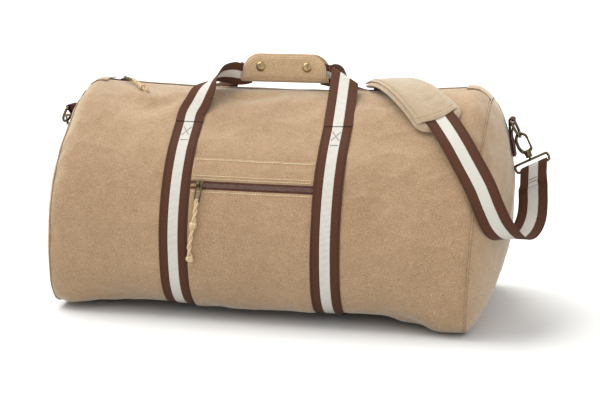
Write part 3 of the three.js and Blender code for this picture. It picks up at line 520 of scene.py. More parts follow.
def set_inputs(shader, values):
    for key, value in values.items():
        shader.inputs[key].default_value = value


def node(tree, kind, inputs, **settings):
    """A shader node. Its inputs are sockets to link or plain values."""
    made = tree.nodes.new("ShaderNode" + kind)
    for key, value in settings.items():
        setattr(made, key, value)
    for key, value in inputs.items():
        if isinstance(value, bpy.types.NodeSocket):
            tree.links.new(value, made.inputs[key])
        else:
            made.inputs[key].default_value = value
    return made


def maths(tree, operation, a, b=0.5):
    return node(tree, "Math", {0: a, 1: b}, operation=operation).outputs[0]


def weighted(tree, a, share_a, b, share_b=1.0):
    """a * share_a + b * share_b"""
    return maths(tree, "ADD", maths(tree, "MULTIPLY", a, share_a), maths(tree, "MULTIPLY", b, share_b))


def grain(tree, scale, detail, roughness=0.5):
    """Noise that stands still in the object."""
    place = node(tree, "TexCoord", {}).outputs["Object"]
    inputs = {"Vector": place, "Scale": scale, "Detail": detail, "Roughness": roughness}
    return node(tree, "TexNoise", inputs).outputs["Fac"]


def weave(tree):
    return node(tree, "UVMap", {}, uv_map="weave").outputs["UV"]


def ribs(tree, scale, distortion, direction):
    inputs = {"Vector": weave(tree), "Scale": scale, "Distortion": distortion}
    return node(tree, "TexWave", inputs, bands_direction=direction).outputs["Fac"]


def ramp(tree, factor, *stops):
    """Colours or greys at places of a factor."""
    made = node(tree, "ValToRGB", {"Fac": factor})
    for element, (place, colour) in zip(made.color_ramp.elements, stops[:1] + stops[-1:]):
        element.position = place
        element.color = (*np.broadcast_to(colour, 3), 1)
    for place, colour in stops[1:-1]:
        made.color_ramp.elements.new(place).color = (*colour, 1)
    return made.outputs["Color"]


def mix(tree, kind, factor, a, b):
    return node(tree, "Mix", {0: factor, 6: a, 7: b}, data_type="RGBA", blend_type=kind).outputs[2]


def finish_material(tree, shader, colour, height, strength, depth, values):
    """Link a material's colour and bump, and set its plain values."""
    tree.links.new(colour, shader.inputs["Base Color"])
    bump = node(tree, "Bump", {"Height": height, "Strength": strength, "Distance": depth})
    tree.links.new(bump.outputs["Normal"], shader.inputs["Normal"])
    set_inputs(shader, values)


def canvas_material(name, dark, middle, light):
    """Washed cotton canvas: heathered grain, cloudy fading and a plain weave."""
    material, tree, shader = new_material(name)
    fibre = grain(tree, 780, 4, 0.7)
    colour = ramp(tree, fibre, (0.32, dark), (0.5, middle), (0.68, light))
    fade = ramp(tree, grain(tree, 10, 5, 0.65), (0.34, (0.92, 0.905, 0.885)), (0.66, (1.05, 1.05, 1.06)))
    worn = ramp(tree, grain(tree, 90, 4, 0.7), (0.34, (0.93, 0.925, 0.915)), (0.66, (1.05, 1.05, 1.06)))
    colour = mix(tree, "MULTIPLY", 1.0, mix(tree, "MULTIPLY", 1.0, colour, fade), worn)
    threads = maths(tree, "MAXIMUM", ribs(tree, 420, 0.6, "X"), ribs(tree, 420, 0.6, "Y"))
    finish_material(tree, shader, colour, weighted(tree, threads, 0.3, fibre), 0.45, 0.5 * MM, {
        "Roughness": 0.95, "Sheen Weight": 0.55, "Sheen Roughness": 0.5,
        "Sheen Tint": (0.96, 1.0, 0.93, 1), "Specular IOR Level": 0.15,
    })
    return material


BROWN = (0.110, 0.044, 0.024)
BROWN_DARK = (0.048, 0.018, 0.010)
CREAM = (0.70, 0.665, 0.60)
CREAM_DARK = (0.25, 0.24, 0.22)


def webbing_material(name):
    """Striped webbing: brown edges and a cream herringbone band, along uv's second axis."""
    material, tree, shader = new_material(name)
    uv = node(tree, "SeparateXYZ", {"Vector": weave(tree)})
    across, along = uv.outputs["X"], uv.outputs["Y"]
    fuzz = grain(tree, 900, 2)
    wobble = maths(tree, "MULTIPLY", maths(tree, "SUBTRACT", fuzz, 0.5), 0.012)
    off_middle = maths(tree, "ABSOLUTE", maths(tree, "SUBTRACT", maths(tree, "ADD", across, wobble), 0.5))
    in_band = maths(tree, "LESS_THAN", off_middle, 0.175)
    rise = maths(tree, "MULTIPLY", along, 2100.0)
    slide = maths(tree, "MULTIPLY", across, 84.0)
    one, other = (maths(tree, "SINE", maths(tree, sign, rise, slide)) for sign in ("ADD", "SUBTRACT"))
    tick = maths(tree, "ADD", maths(tree, "MULTIPLY", maths(tree, "MULTIPLY", one, other), 0.5), 0.5)
    cream = ramp(tree, tick, (0.22, CREAM_DARK), (0.5, CREAM))
    rib = ribs(tree, 300, 0.4, "Y")
    brown = ramp(tree, weighted(tree, rib, 0.45, fuzz, 0.6), (0.25, BROWN_DARK), (0.85, BROWN))
    height = weighted(tree, rib, 0.5, maths(tree, "MULTIPLY", tick, in_band), 1.2)
    finish_material(tree, shader, mix(tree, "MIX", in_band, brown, cream), height, 0.6, 0.4 * MM, {
        "Roughness": 0.9, "Sheen Weight": 0.05, "Sheen Roughness": 0.5, "Specular IOR Level": 0.15,
    })
    return material


def fabric_material(name, dark, light, scale):
    """A plain cloth, tape or thread in one colour with fibre grain."""
    material, tree, shader = new_material(name)
    fibre = grain(tree, scale, 3)
    colour = ramp(tree, fibre, (0.32, dark), (0.68, light))
    shade = ramp(tree, grain(tree, scale / 20, 2), (0.35, 0.88), (0.65, 1.08))
    colour = mix(tree, "MULTIPLY", 1.0, colour, shade)
    values = {"Roughness": 0.9, "Specular IOR Level": 0.25}
    finish_material(tree, shader, colour, fibre, 0.5, 0.4 * MM, values)
    return material


def cord_material(name):
    """Twisted cotton cord: strands wind round it by uv, with painted shade darkening the grooves between
    them.
    """
    material, tree, shader = new_material(name)
    uv = node(tree, "SeparateXYZ", {"Vector": weave(tree)})
    twist = weighted(tree, uv.outputs["X"], 3.0, uv.outputs["Y"], 260.0)
    strand = maths(tree, "ABSOLUTE", maths(tree, "SUBTRACT", maths(tree, "FRACT", twist), 0.5))
    fibre = grain(tree, 1100, 3)
    # Painted shade: the colour darkens from each strand's middle towards the grooves between strands, where
    # shade falls.
    depth = maths(tree, "SUBTRACT", 0.62, maths(tree, "MULTIPLY", strand, 0.8))
    colour = ramp(tree, depth, (0.15, (0.30, 0.205, 0.105)), (0.5, (0.66, 0.50, 0.29)))
    colour = mix(tree, "MULTIPLY", 1.0, colour, ramp(tree, fibre, (0.3, 0.86), (0.7, 1.1)))
    height = weighted(tree, fibre, 0.3, strand, -1.0)
    finish_material(tree, shader, colour, height, 0.8, 0.5 * MM, {"Roughness": 0.9})
    return material


def metal_material(name, dark, light, roughness):
    """Aged brass: darker in the cloudy patina, with fine scratches in its gloss."""
    material, tree, shader = new_material(name)
    patina = grain(tree, 150, 5, 0.7)
    colour = ramp(tree, patina, (0.32, dark), (0.62, light))
    rough = maths(tree, "ADD", maths(tree, "MULTIPLY", patina, 0.28), roughness - 0.14)
    tree.links.new(rough, shader.inputs["Roughness"])
    finish_material(tree, shader, colour, grain(tree, 1400, 2), 0.15, 0.2 * MM, {"Metallic": 1.0})
    return material


def plastic_material(name, dark, light):
    material, tree, shader = new_material(name)
    fleck = grain(tree, 500, 2)
    colour = ramp(tree, fleck, (0.3, dark), (0.7, light))
    finish_material(tree, shader, colour, fleck, 0.2, 0.2 * MM, {"Roughness": 0.42})
    return material


CANVAS = canvas_material("washed_canvas", (0.24, 0.15, 0.08), (0.345, 0.224, 0.128), (0.46, 0.318, 0.196))
PAD_CANVAS = canvas_material("pad_canvas", (0.3, 0.216, 0.136), (0.375, 0.277, 0.182), (0.45, 0.345, 0.236))
GRIP_CANVAS = canvas_material("grip_canvas", (0.36, 0.232, 0.124), (0.47, 0.318, 0.184), (0.58, 0.42, 0.27))
WEBBING = webbing_material("striped_webbing")
TAPE = fabric_material("zip_tape", (0.045, 0.017, 0.012), (0.135, 0.055, 0.038), 900)
TEETH = plastic_material("zip_teeth", (0.060, 0.026, 0.020), (0.20, 0.105, 0.085))
BRASS = metal_material("antique_brass", (0.030, 0.022, 0.013), (0.18, 0.132, 0.072), 0.36)
CAP_BRASS = metal_material("snap_brass", (0.16, 0.11, 0.05), (0.46, 0.34, 0.17), 0.3)
CORD = cord_material("cotton_cord")
THREAD = fabric_material("cream_thread", (0.52, 0.42, 0.24), (0.84, 0.73, 0.50), 1500)
DARK_THREAD = fabric_material("dark_thread", (0.012, 0.010, 0.010), (0.05, 0.035, 0.03), 1500)
TAN_THREAD = fabric_material("tan_thread", (0.22, 0.14, 0.075), (0.36, 0.25, 0.14), 1500)
TAB_WEBBING = fabric_material("tab_webbing", (0.035, 0.012, 0.008), (0.11, 0.04, 0.026), 900)
LINING = fabric_material("lining_cloth", (0.45, 0.38, 0.27), (0.66, 0.58, 0.44), 600)
BOARD = fabric_material("stiff_board", (0.03, 0.026, 0.022), (0.07, 0.06, 0.05), 300)

# ---- the body ----


def end_point(side, rho, v, offset):
    """The outside of an end panel, at a share rho of the way from its middle to the seam."""
    rim = skin_point(np.full_like(v, side), v)
    z = END_CENTRE_Z + (rim[..., 2] - END_CENTRE_Z) * rho
    bulge = (38 if side > 0 else 28) * MM * (1 - rho**2) ** 0.7
    seam = seam_x(np.full_like(v, side), z)
    return np.stack([side * (seam + bulge + offset + 0.6 * MM) + FRAME_X, rim[..., 1] * rho, z], -1)


def end_panel(name, side, replaced):
    rings, around = 46, 240
    rho = np.linspace(0.0, 0.992, rings + 1)[1:]
    v = np.linspace(-1, 1, around, endpoint=False)
    rr, vv = np.meshgrid(rho, v, indexing="ij")
    hold = 1 - smooth(0.93, 1.0, rr)
    pucker = 0.9 * MM * np.sin(vv * GIRTH / SEAM_WAVE) * smooth(0.86, 0.97, rr)
    verts = []
    for offset in (-CLOTH_THICK, 0.0):
        grid = end_point(side, rr, vv, offset)
        dent = 2.4 * MM * noise_at(grid, 11, 5.5) + 0.8 * MM * noise_at(grid, 38, 2.0)
        soft = dent + 1.2 * MM * ridges(grid, 16, 8.3) + pucker
        grid[..., 0] += side * (soft * hold - 0.6 * MM * smooth(0, 0.2, rr))
        verts += [grid[0].mean(0)[None], grid.reshape(-1, 3)]
    verts = np.vstack(verts)
    layer = 1 + rings * around
    faces = []
    for j in range(around):
        k = (j + 1) % around
        strip = [(0, 1 + j, 1 + k)]
        for a in range(1, layer - around, around):
            strip.append((a + j, a + around + j, a + around + k, a + k))
        faces += [face[::-1] for face in strip]
        faces += [tuple(i + layer for i in face) for face in strip]
        a, b = layer - around + j, layer - around + k
        faces.append((a, b, layer + b, layer + a))
    make_object(name, closed((verts, faces, verts[:, 1:])), CANVAS, replaced)


def welt(name, side):
    """The turned seam between an end panel and the walls: a thin rolled rim."""
    v = np.linspace(-1, 1, 361)[:-1]
    line = cloth(side * 0.9985, v, 0.2 * MM)
    line[:, 0] += side * 0.6 * MM
    wave = 0.35 * MM * np.sin(v * GIRTH / (6 * MM))
    line += unit(line - [line[:, 0].mean(), 0, END_CENTRE_Z]) * wave[:, None]
    verts, faces, uvs = tube_mesh(line, 0.75 * MM, 8, True, [side, 0, 0])
    make_object(name, (verts, faces, uvs * [0.008, 1]), CANVAS)


def build_body():
    walls = [
        ("front", -TOP_EDGE, -BASE_EDGE - 0.003, 190),
        ("back", TOP_EDGE, BASE_EDGE + 0.003, 190),
        ("base", -BASE_EDGE, BASE_EDGE, 60),
    ]
    u = np.linspace(-1, 1, 150)
    for name, v0, v1, count in walls:
        sheet = sheet_on_skin(u, np.linspace(v0, v1, count), -CLOTH_THICK, 0.0, 0.5 * MM)
        make_object("body_" + name, sheet, CANVAS, name + "_panel")
    for name, side in (("right", 1), ("left", -1)):
        end_panel("body_end_" + name, side, "end_panel_" + name)
    for name, side in (("right", 1), ("left", -1)):
        welt("seam_" + name, side)


# ---- zips ----

TOOTH_PITCH = 2.2 * MM


def tooth_row(name, points, sides, normals, size, gap, replaced):
    """Two rows of interlocked teeth beside a line."""
    length = arc_length(points)
    cube = np.array([[x, y, z] for x in (-1, 1) for y in (-1, 1) for z in (-1, 1)], float)
    faces = [(0, 1, 3, 2), (4, 6, 7, 5), (0, 4, 5, 1), (2, 3, 7, 6), (0, 2, 6, 4), (1, 5, 7, 3)]
    parts = []
    for k in range(int(length[-1] / TOOTH_PITCH)):
        for hand in (-1, 1):
            at = (k + 0.5 - 0.25 * hand) * TOOTH_PITCH
            s = unit(sample(at, length, sides))
            n = unit(sample(at, length, normals))
            local = cube * size / 2
            local[:, 0] *= np.where(cube[:, 1] * hand > 0, 1.0, 0.8)
            verts = sample(at, length, points) + s * hand * gap + local @ np.array([np.cross(s, n), s, n])
            parts.append(closed((verts, faces, np.zeros((8, 2)))))
    make_object(name, merge(parts), TEETH, replaced, smooth_angle=20)


def build_main_zip():
    x = np.linspace(-226 * MM, 256 * MM, 120)
    for name, side in (("front", -1), ("back", 1)):
        v = side * np.linspace(1 - 3.0 / 324, 1 - 18 / 324, 8)
        xx, vv = np.meshgrid(x, v, indexing="ij")
        base, normal = over_skin(xx, vv, 0)
        tape = sheet_mesh(base - normal * 1.75 * MM, base - normal * 2.5 * MM, xx, vv * GIRTH)
        make_object("zip_tape_" + name, tape, TAPE, "main_zip_tape_" + name)
    x = np.linspace(-218 * MM, 252 * MM, 200)
    z = BAG_HEIGHT + x**2 / (2 * ZIP_RADIUS) - 1.6 * MM
    points = np.stack([x + FRAME_X, 0 * x, z], -1)
    sides = np.tile([0, 1.0, 0], (len(x), 1))
    normals = np.tile([0, 0, 1.0], (len(x), 1))
    size = np.array([1.35, 3.0, 1.7]) * MM
    tooth_row("zip_teeth_main", points, sides, normals, size, 1.1 * MM, "main_zip_chain")


# ---- the front pocket ----


def build_pocket():
    half = POCKET_HALF
    low, high = 0.7 * MM, 2.3 * MM
    tape_low, tape_high = 0.3 * MM, 1.0 * MM
    x = np.linspace(-half, half, 60)
    pieces = [
        ("top", -0.654, -ZIP_LINE - 0.0105, 16, "facing", CANVAS, (low, high)),
        ("front", -ZIP_LINE + 0.0105, -BASE_EDGE - 0.006, 80, "panel", CANVAS,
         (low, high, 0.8 * MM, 1.6 * MM)),
        ("tape_upper", -ZIP_LINE - 0.026, -ZIP_LINE - 0.004, 5, "zip_tape_upper", TAPE,
         (tape_low, tape_high, 0.2 * MM)),
        ("tape_lower", -ZIP_LINE + 0.004, -ZIP_LINE + 0.026, 5, "zip_tape_lower", TAPE,
         (tape_low, tape_high, 0.2 * MM)),
    ]
    for name, v0, v1, count, replaced, material, layers in pieces:
        sheet = sheet_on_skin(u_at(x, (v0 + v1) / 2), np.linspace(v0, v1, count), *layers)
        make_object("pocket_" + name, sheet, material, "pocket_" + replaced)
    x = np.linspace(-61 * MM, half, 90)
    u = u_at(x, -ZIP_LINE)
    normals = skin_normal(u, np.full_like(u, -ZIP_LINE))
    size = np.array([1.3, 3.1, 1.5]) * MM
    tooth_row("zip_teeth_pocket", cloth(u, -ZIP_LINE, 1.35 * MM), np.cross(normals, [1.0, 0, 0]), normals,
              size, 1.25 * MM, "pocket_zip_chain")
    pocket_stitches("upper", [-0.648, -ZIP_LINE - 0.0225, -ZIP_LINE - 0.0155], 2.6 * MM)
    pocket_stitches("lower", [-ZIP_LINE + 0.0165], 2.75 * MM)


def pocket_stitches(name, rows, lift):
    inset = POCKET_HALF - 3 * MM
    parts = []
    for v in rows:
        path = even([(-inset, v), (inset, v)], 0.004)
        u = u_at(path[:, 0], path[:, 1])
        line = cloth(u, path[:, 1], lift)
        parts.append(stitch_mesh(line, skin_normal(u, path[:, 1]), 3.6 * MM, 0.72, 0.5 * MM))
    make_object("pocket_stitches_" + name, merge(parts), THREAD)


# ---- the straps ----

# Shares of the girth of a handle's sewn end: its edge, the cross's top and bottom, the line below.
SEWN_AT = (0.772, 0.757, 0.724, 0.708)
BOX_HALF = 6.4 * MM


def build_straps():
    v = np.linspace(-LIFT_OFF, LIFT_OFF, 330)
    for name, side in (("left", -1), ("right", 1)):
        u = u_at(side * STRAP_X, v)
        centre = cloth(u, v, 1.3 * MM)
        centre[:, 0] = side * STRAP_X + FRAME_X
        strap = ribbon_mesh(centre, np.tile([1.0, 0, 0], (len(v), 1)))
        make_object("webbing_" + name, strap, WEBBING, "strap_" + name)
        normals = skin_normal(u, v)
        raised = centre + normals * 0.72 * MM
        edges = [raised + [edge, 0, 0] for edge in (-16.6 * MM, 16.6 * MM)]
        seams = [stitch_mesh(line, normals, 3.4 * MM, radius=0.3 * MM) for line in edges]
        make_object("webbing_edge_stitches_" + name, merge(seams), DARK_THREAD)
        for face_name, face in (("front", -1), ("back", 1)):
            box_stitches(f"box_stitches_{face_name}_{name}", side * STRAP_X, face)


def box_stitches(name, x, face):
    """A cross between two lines where a handle is sewn to the strap."""
    top, cross_top, cross_bottom, bottom = (face * share for share in SEWN_AT)
    wide = BOX_HALF
    lines = [
        [(x - wide * 2.6, top), (x + wide * 2.6, top)],
        [(x - wide, bottom), (x + wide, bottom)],
        [(x - wide * 0.9, cross_top), (x + wide * 0.9, cross_bottom)],
        [(x + wide * 0.9, cross_top), (x - wide * 0.9, cross_bottom)],
    ]
    parts = []
    for line in lines:
        path = even(line, 0.002)
        v = path[:, 1]
        base = cloth(u_at(x, v), v, 2.05 * MM)
        base[:, 0] = path[:, 0] + FRAME_X
        parts.append(stitch_mesh(base, skin_normal(u_at(path[:, 0], v), v), 2.6 * MM, 0.8, 0.42 * MM))
    make_object(name, merge(parts), DARK_THREAD)


# ---- the carry handles ----

GRIP_X = 10 * MM
GRIP_HALF = 58 * MM
GRIP_CORNER = 25 * MM
GRIP_BOTTOM = 298 * MM
FLAP_BOTTOM = GRIP_BOTTOM + 1.6 * MM
GRIP_TOP = 336 * MM
RUN_Z = 312 * MM
LEG_POINTS = 15  # across a leg

# Legs that curl over into the grip, from the strap up: middle points and width directions.
CURLED_LEGS = {
    "front_left": [
        ((-99.5, -69, 262), (1, 0, 0)),
        ((-94, -60, 275), (1, -0.06, 0)),
        ((-89, -50, 290), (0.97, -0.28, 0)),
        ((-83, -39, 302), (0.72, -0.68, 0.25)),
        ((-73, -25, 310), (0.3, -0.78, 0.55)),
        ((-61, -12, 310), (0.06, -0.6, 0.8)),
        ((-50, -4, 307), (0, -0.15, 0.99)),
        ((-40, -2.6, 309), (0, 0, 1)),
    ],
    "back_left": [
        ((-99, 68, 262), (1, 0, 0)),
        ((-97, 59, 272), (1, 0.06, 0)),
        ((-92, 48, 284), (0.97, 0.28, 0)),
        ((-84, 36, 293), (0.72, 0.68, 0.25)),
        ((-74, 25, 301), (0.3, 0.78, 0.55)),
        ((-62, 14, 306), (0.06, 0.6, 0.8)),
        ((-50, 4, 307), (0, 0.15, 0.99)),
        ((-40, 2.6, 309), (0, 0, 1)),
    ],
    "back_right": [
        ((101, 68, 262), (-1, 0, 0)),
        ((102, 58, 273), (-1, 0.06, 0)),
        ((101, 47, 284), (-0.97, 0.28, 0)),
        ((97, 36, 294), (-0.72, 0.68, 0.25)),
        ((90, 25, 301), (-0.3, 0.78, 0.55)),
        ((80, 14, 306), (-0.06, 0.6, 0.8)),
        ((70.5, 5.5, 307), (0, 0.15, 0.99)),
        ((60, 2.6, 309), (0, 0, 1)),
    ],
}
GATHERED = 28 * MM  # width of a leg where it goes into the grip


def leg_foot(side, face):
    share = face * (LIFT_OFF - 0.003)
    return cloth(u_at(side * STRAP_X, share), share, 2.0 * MM)


def square_to(directions, tangents):
    return unit(directions - tangents * np.sum(directions * tangents, -1, keepdims=True))


def curled_leg(path, side, face):
    """A grid of points (along, across) on the middle of a leg that curls into the grip."""
    count = 110
    points = [leg_foot(side, face)] + [np.array(p) * MM + [FRAME_X, 0, 0] for p, _ in path]
    widths = [path[0][1]] + [w for _, w in path]
    centre = catmull(points, count)
    tangent = unit(np.gradient(centre, axis=0))
    across = square_to(unit(catmull(widths, count)), tangent)
    out = np.cross(tangent, across)
    s = np.linspace(0, 1, count)[:, None]
    width = WEB_WIDTH + (GATHERED - WEB_WIDTH) * smooth(0.66, 0.92, s)
    t = np.linspace(-0.5, 0.5, LEG_POINTS)
    cup = 1.6 * MM * smooth(0.25, 0.5, s) * (1 - smooth(0.8, 0.95, s)) * (1 - 4 * t**2)
    return centre[:, None] + across[:, None] * (t * width)[..., None] + out[:, None] * cup[..., None]


FOLD_RADIUS = 2.6 * MM
FOLD_DROP = math.radians(10)  # how far the folded part drops from level


def folded_leg():
    """The same for the leg that goes straight up and over a diagonal roll."""
    centre = np.array([95, -15, 308.5]) * MM + [FRAME_X, 0, 0]
    foot = leg_foot(1, -1)
    length = np.linalg.norm(centre - foot)
    up = unit(centre - foot)
    across = unit(np.array([1.0, 0, 0]) - up * up[0])
    out = np.cross(across, up)
    fold = unit([math.cos(FOLD_DROP), 1 + math.sin(FOLD_DROP)])
    half_turn = math.pi * FOLD_RADIUS
    rolled = half_turn / fold[1]
    below, above, last = -2 * MM, rolled + 1 * MM, 40 * MM
    along = np.concatenate([np.linspace(-length, below, 60), np.linspace(below, above, 26)[1:],
                            np.linspace(above, last, 24)[1:]])[:, None]
    slant = np.interp(along, [-length, -26 * MM, below, above, 30 * MM, last], [0, 0, 1, 1, 0, 0])
    w = np.linspace(-WEB_WIDTH / 2, WEB_WIDTH / 2, LEG_POINTS)
    s = along - fold[0] / fold[1] * w * slant
    q = w * fold[0] + s * fold[1]
    level = s * fold[0] - w * fold[1]
    turn = np.clip(q / FOLD_RADIUS, 0, math.pi)
    past = np.where(q < 0, q, np.where(q < half_turn, FOLD_RADIUS * np.sin(turn), half_turn - q))
    depth = FOLD_RADIUS * (1 - np.cos(turn))
    grid = (centre + across * (-fold[1] * level + fold[0] * past)[..., None]
            + up * (fold[0] * level + fold[1] * past)[..., None] - out * depth[..., None])
    settle = smooth(rolled, 32 * MM, along)
    level_z = 309 * MM - w * GATHERED / WEB_WIDTH
    grid[..., 1] = grid[..., 1] * (1 - settle) - 2.6 * MM * settle
    grid[..., 2] = grid[..., 2] * (1 - settle) + level_z * settle
    bow = 0.9 * MM * np.sin(np.clip((along + length) / length, 0, 1) * math.pi)
    return grid - out * bow[..., None]


def webbing_sheet(grid):
    """Webbing given as a grid of points on its middle surface: (along, across)."""
    normals = unit(np.cross(np.gradient(grid, axis=0), np.gradient(grid, axis=1)))
    for i in range(1, len(normals)):
        flip = np.sum(normals[i] * normals[i - 1], -1, keepdims=True) < 0
        normals[i] = np.where(flip, -normals[i], normals[i])
    half = np.full((LEG_POINTS, 1), WEB_THICK / 2)
    half[0] = half[-1] = WEB_THICK / 5
    length = arc_length(grid[:, LEG_POINTS // 2])
    across = np.linspace(0, 1, LEG_POINTS)[None, :]
    return sheet_mesh(grid + normals * half, grid - normals * half, across, length[:, None])


def build_handles():
    x = np.linspace(-GRIP_HALF + 3 * MM, GRIP_HALF - 3 * MM, 40) + GRIP_X + FRAME_X
    for face_name, face in (("front", -1), ("back", 1)):
        for side_name, side in (("left", -1), ("right", 1)):
            name = face_name + "_" + side_name
            path = CURLED_LEGS.get(name)
            grid = curled_leg(path, side, face) if path else folded_leg()
            leg = make_object("webbing_leg_" + name, webbing_sheet(grid), WEBBING,
                              f"handle_{face_name}_leg_{side_name}", body=None)
            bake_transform(leg)
        line = np.stack([x, np.full_like(x, face * 2.2 * MM), np.full_like(x, RUN_Z)], -1)
        run = ribbon_mesh(line, np.tile([0, 0, 1.0], (len(x), 1)), 22 * MM)
        make_object("webbing_run_" + face_name, run, WEBBING, f"handle_{face_name}_run", "handles")


# ---- the grip ----


def grip_top(x, half=GRIP_HALF, top=GRIP_TOP):
    """Height of a grip flap's rounded outline at a distance x from its middle."""
    into = np.clip(np.abs(x) - (half - GRIP_CORNER), 0, GRIP_CORNER)
    return top - (GRIP_CORNER - np.sqrt(np.maximum(GRIP_CORNER**2 - into**2, 0)))


def grip_sheet(half, top, profile):
    """Canvas bent by profile(share, top) -> (y, z) from its lower edge to its rounded top."""
    xx, tt = np.meshgrid(np.linspace(-half, half, 90), np.linspace(0, 1, 40), indexing="ij")
    y, z = profile(tt, grip_top(xx, half, top))
    base = np.stack([xx + GRIP_X + FRAME_X, y, z], -1)
    normals = unit(np.cross(np.gradient(base, axis=0), np.gradient(base, axis=1)))
    tall = 36 * MM
    edge = np.minimum(np.minimum(half - np.abs(xx), (1 - tt) * tall), tt * tall)
    full = 0.75 * MM * (0.45 + 0.55 * smooth(0, 1.6 * MM, edge))
    soft = 0.35 * MM * noise_at(base, 60, 2.9) * smooth(0, 4 * MM, edge)
    quilt = 0.7 * MM * smooth(3 * MM, 9 * MM, edge)
    outer = base + normals * (full + soft + quilt)[..., None]
    return sheet_mesh(outer, base - normals * full[..., None], xx, z + y)


def flap_profile(t, top):
    """The front flap: its lower edge curls under, its face is a little crowned."""
    roll = 4.0 * MM * (1 - smooth(0, 0.2, t)) ** 2
    crown = 1.1 * MM * np.sin(np.clip(t, 0, 1) * math.pi) ** 0.7
    tuck = 1.2 * MM * smooth(0.8, 1.0, t)
    return -7.0 * MM + roll - crown + tuck, FLAP_BOTTOM + (top - FLAP_BOTTOM) * t


def wrap_profile(t, top):
    """The back of the wrap and the fold below both runs, from the front round to the top."""
    out = 6.2 * MM
    bend = GRIP_BOTTOM + out
    arc = 0.3
    turn = 1.2 * math.pi * (1 - np.clip(t / arc, 0, 1))
    y = np.where(t < arc, out * np.cos(turn), out) - 0.7 * MM
    z = np.where(t < arc, bend - out * np.sin(turn), bend + (top - bend) * (t - arc) / (1 - arc))
    return y, z


SNAP_PROFILE = [
    (0, 3.6), (1.5, 3.52), (3.0, 3.2), (4.4, 2.6), (5.5, 1.8), (6.2, 1.05), (6.5, 0.75), (6.9, 0.65),
    (7.1, 0.35), (6.9, 0.0), (1.6, -0.1), (1.6, -2.2), (4.2, -2.2), (4.2, -3.0), (0, -3.0),
]


def flap_seam(inset):
    """A stitch line along the flap's rounded outline."""
    half, corner = GRIP_HALF - inset, GRIP_CORNER - inset
    angle = np.linspace(0, math.pi / 2, 14)
    right = np.stack([half - corner + corner * np.cos(angle),
                      GRIP_TOP - inset - corner + corner * np.sin(angle)], -1)
    low = GRIP_BOTTOM + 5 * MM
    line = even(np.vstack([[half, low], right, right[::-1] * [-1, 1], [-half, low]]), 1.5 * MM)
    x = line[:, 0]
    top = grip_top(x)
    y, z = flap_profile((line[:, 1] - FLAP_BOTTOM) / (top - FLAP_BOTTOM), top)
    points = np.stack([x + GRIP_X + FRAME_X, y - 1.55 * MM, z], -1)
    return stitch_mesh(points, np.tile([0, -1.0, 0], (len(points), 1)))


def build_grip():
    flap = grip_sheet(GRIP_HALF, GRIP_TOP, flap_profile)
    make_object("grip_front_flap", flap, GRIP_CANVAS, "grip_flap", "flap")
    wrap = grip_sheet(GRIP_HALF + 3 * MM, GRIP_TOP - 1 * MM, wrap_profile)
    make_object("grip_back_wrap", wrap, GRIP_CANVAS, "grip_wrap", "handles")
    seams = merge([flap_seam(3.2 * MM), flap_seam(6.0 * MM)])
    make_object("grip_stitches", seams, THREAD, body="flap")
    forward = np.array([0, -1.0, 0])
    for name, x in (("left", -32 * MM), ("right", 32 * MM)):
        place = np.array([GRIP_X + x + FRAME_X, -8.75 * MM, 318.5 * MM])
        side = unit(np.cross(forward, [0.31, 0.2, 0.93]))
        dome = turned_mesh(SNAP_PROFILE, place, forward, side, 40)
        make_object("snap_dome_" + name, dome, CAP_BRASS, "snap_cap_" + name, "flap", smooth_angle=35)


# ---- rings and clips ----

RING_Z = 256 * MM
RING_SLANT = math.radians(28)
RING_DROP = 24 * MM
RING_HALF = 17 * MM
RING_WIRE = 1.85 * MM
LOOP_DROP = 32 * MM
LOOP_WIRE = 1.7  # mm
# Of each end: side, the bar's x, where the hook hangs on the ring, the hook's way down, the loop's
# turn, how far that way is squared to the ring's wire, and the webbing's way down.
ENDS = {
    "right": (1, 313 * MM, math.pi / 2, (0.45, -0.16, -0.88), 0, 0, (0, -0.05, -1)),
    "left": (-1, 301 * MM, 0.75 * math.pi, (0.24, 0.68, -0.69), 90, 1, (0.05, 0.72, -0.69)),
}
# Profiles and paths of the hook in mm: radius and height, or points in the hook's own axes.
BARREL = [
    (0, -19), (3.6, -19), (4.4, -18.4), (4.6, -17.2), (4.2, -16.6), (4.2, -15.4), (4.6, -14.8),
    (4.6, -13.2), (4.0, -12.2), (2.6, -10.6), (0, -9.6),
]
STEM = [(0, -23.6), (2.6, -23.6), (3.0, -22.4), (2.4, -21.0), (1.5, -20.2), (1.5, -18.6), (0, -18.6)]
CROOK = [
    (0, -12), (-5.0, -9.4), (-7.4, -4), (-7.6, 2), (-6.6, 8.4), (-3.6, 12.8), (0, 14.2), (3.8, 12.6),
    (6.6, 9.2), (7.5, 5.2),
]
CROOK_RADII = [2.5, 2.4, 2.2, 2.1, 2.1, 2.1, 2.0, 1.9, 1.8, 1.6]
FOOT = [(0, -11.4), (3.6, -11.0), (6.2, -9.6), (7.2, -8.4)]
GATE = [(7.2, -7.8), (7.35, -4), (7.35, 0), (7.3, 4.2)]


def flat(outline):
    """Points (x, z) as points (x, 0, z)."""
    return [(x, 0, z) for x, z in outline]


def ring_wire(bar_x, turn):
    y = -RING_HALF * math.cos(turn)
    drop = 8 * MM + (RING_DROP - 8 * MM) * math.sin(turn)
    return np.array([bar_x + drop * math.sin(RING_SLANT), y, RING_Z - drop * math.cos(RING_SLANT)])


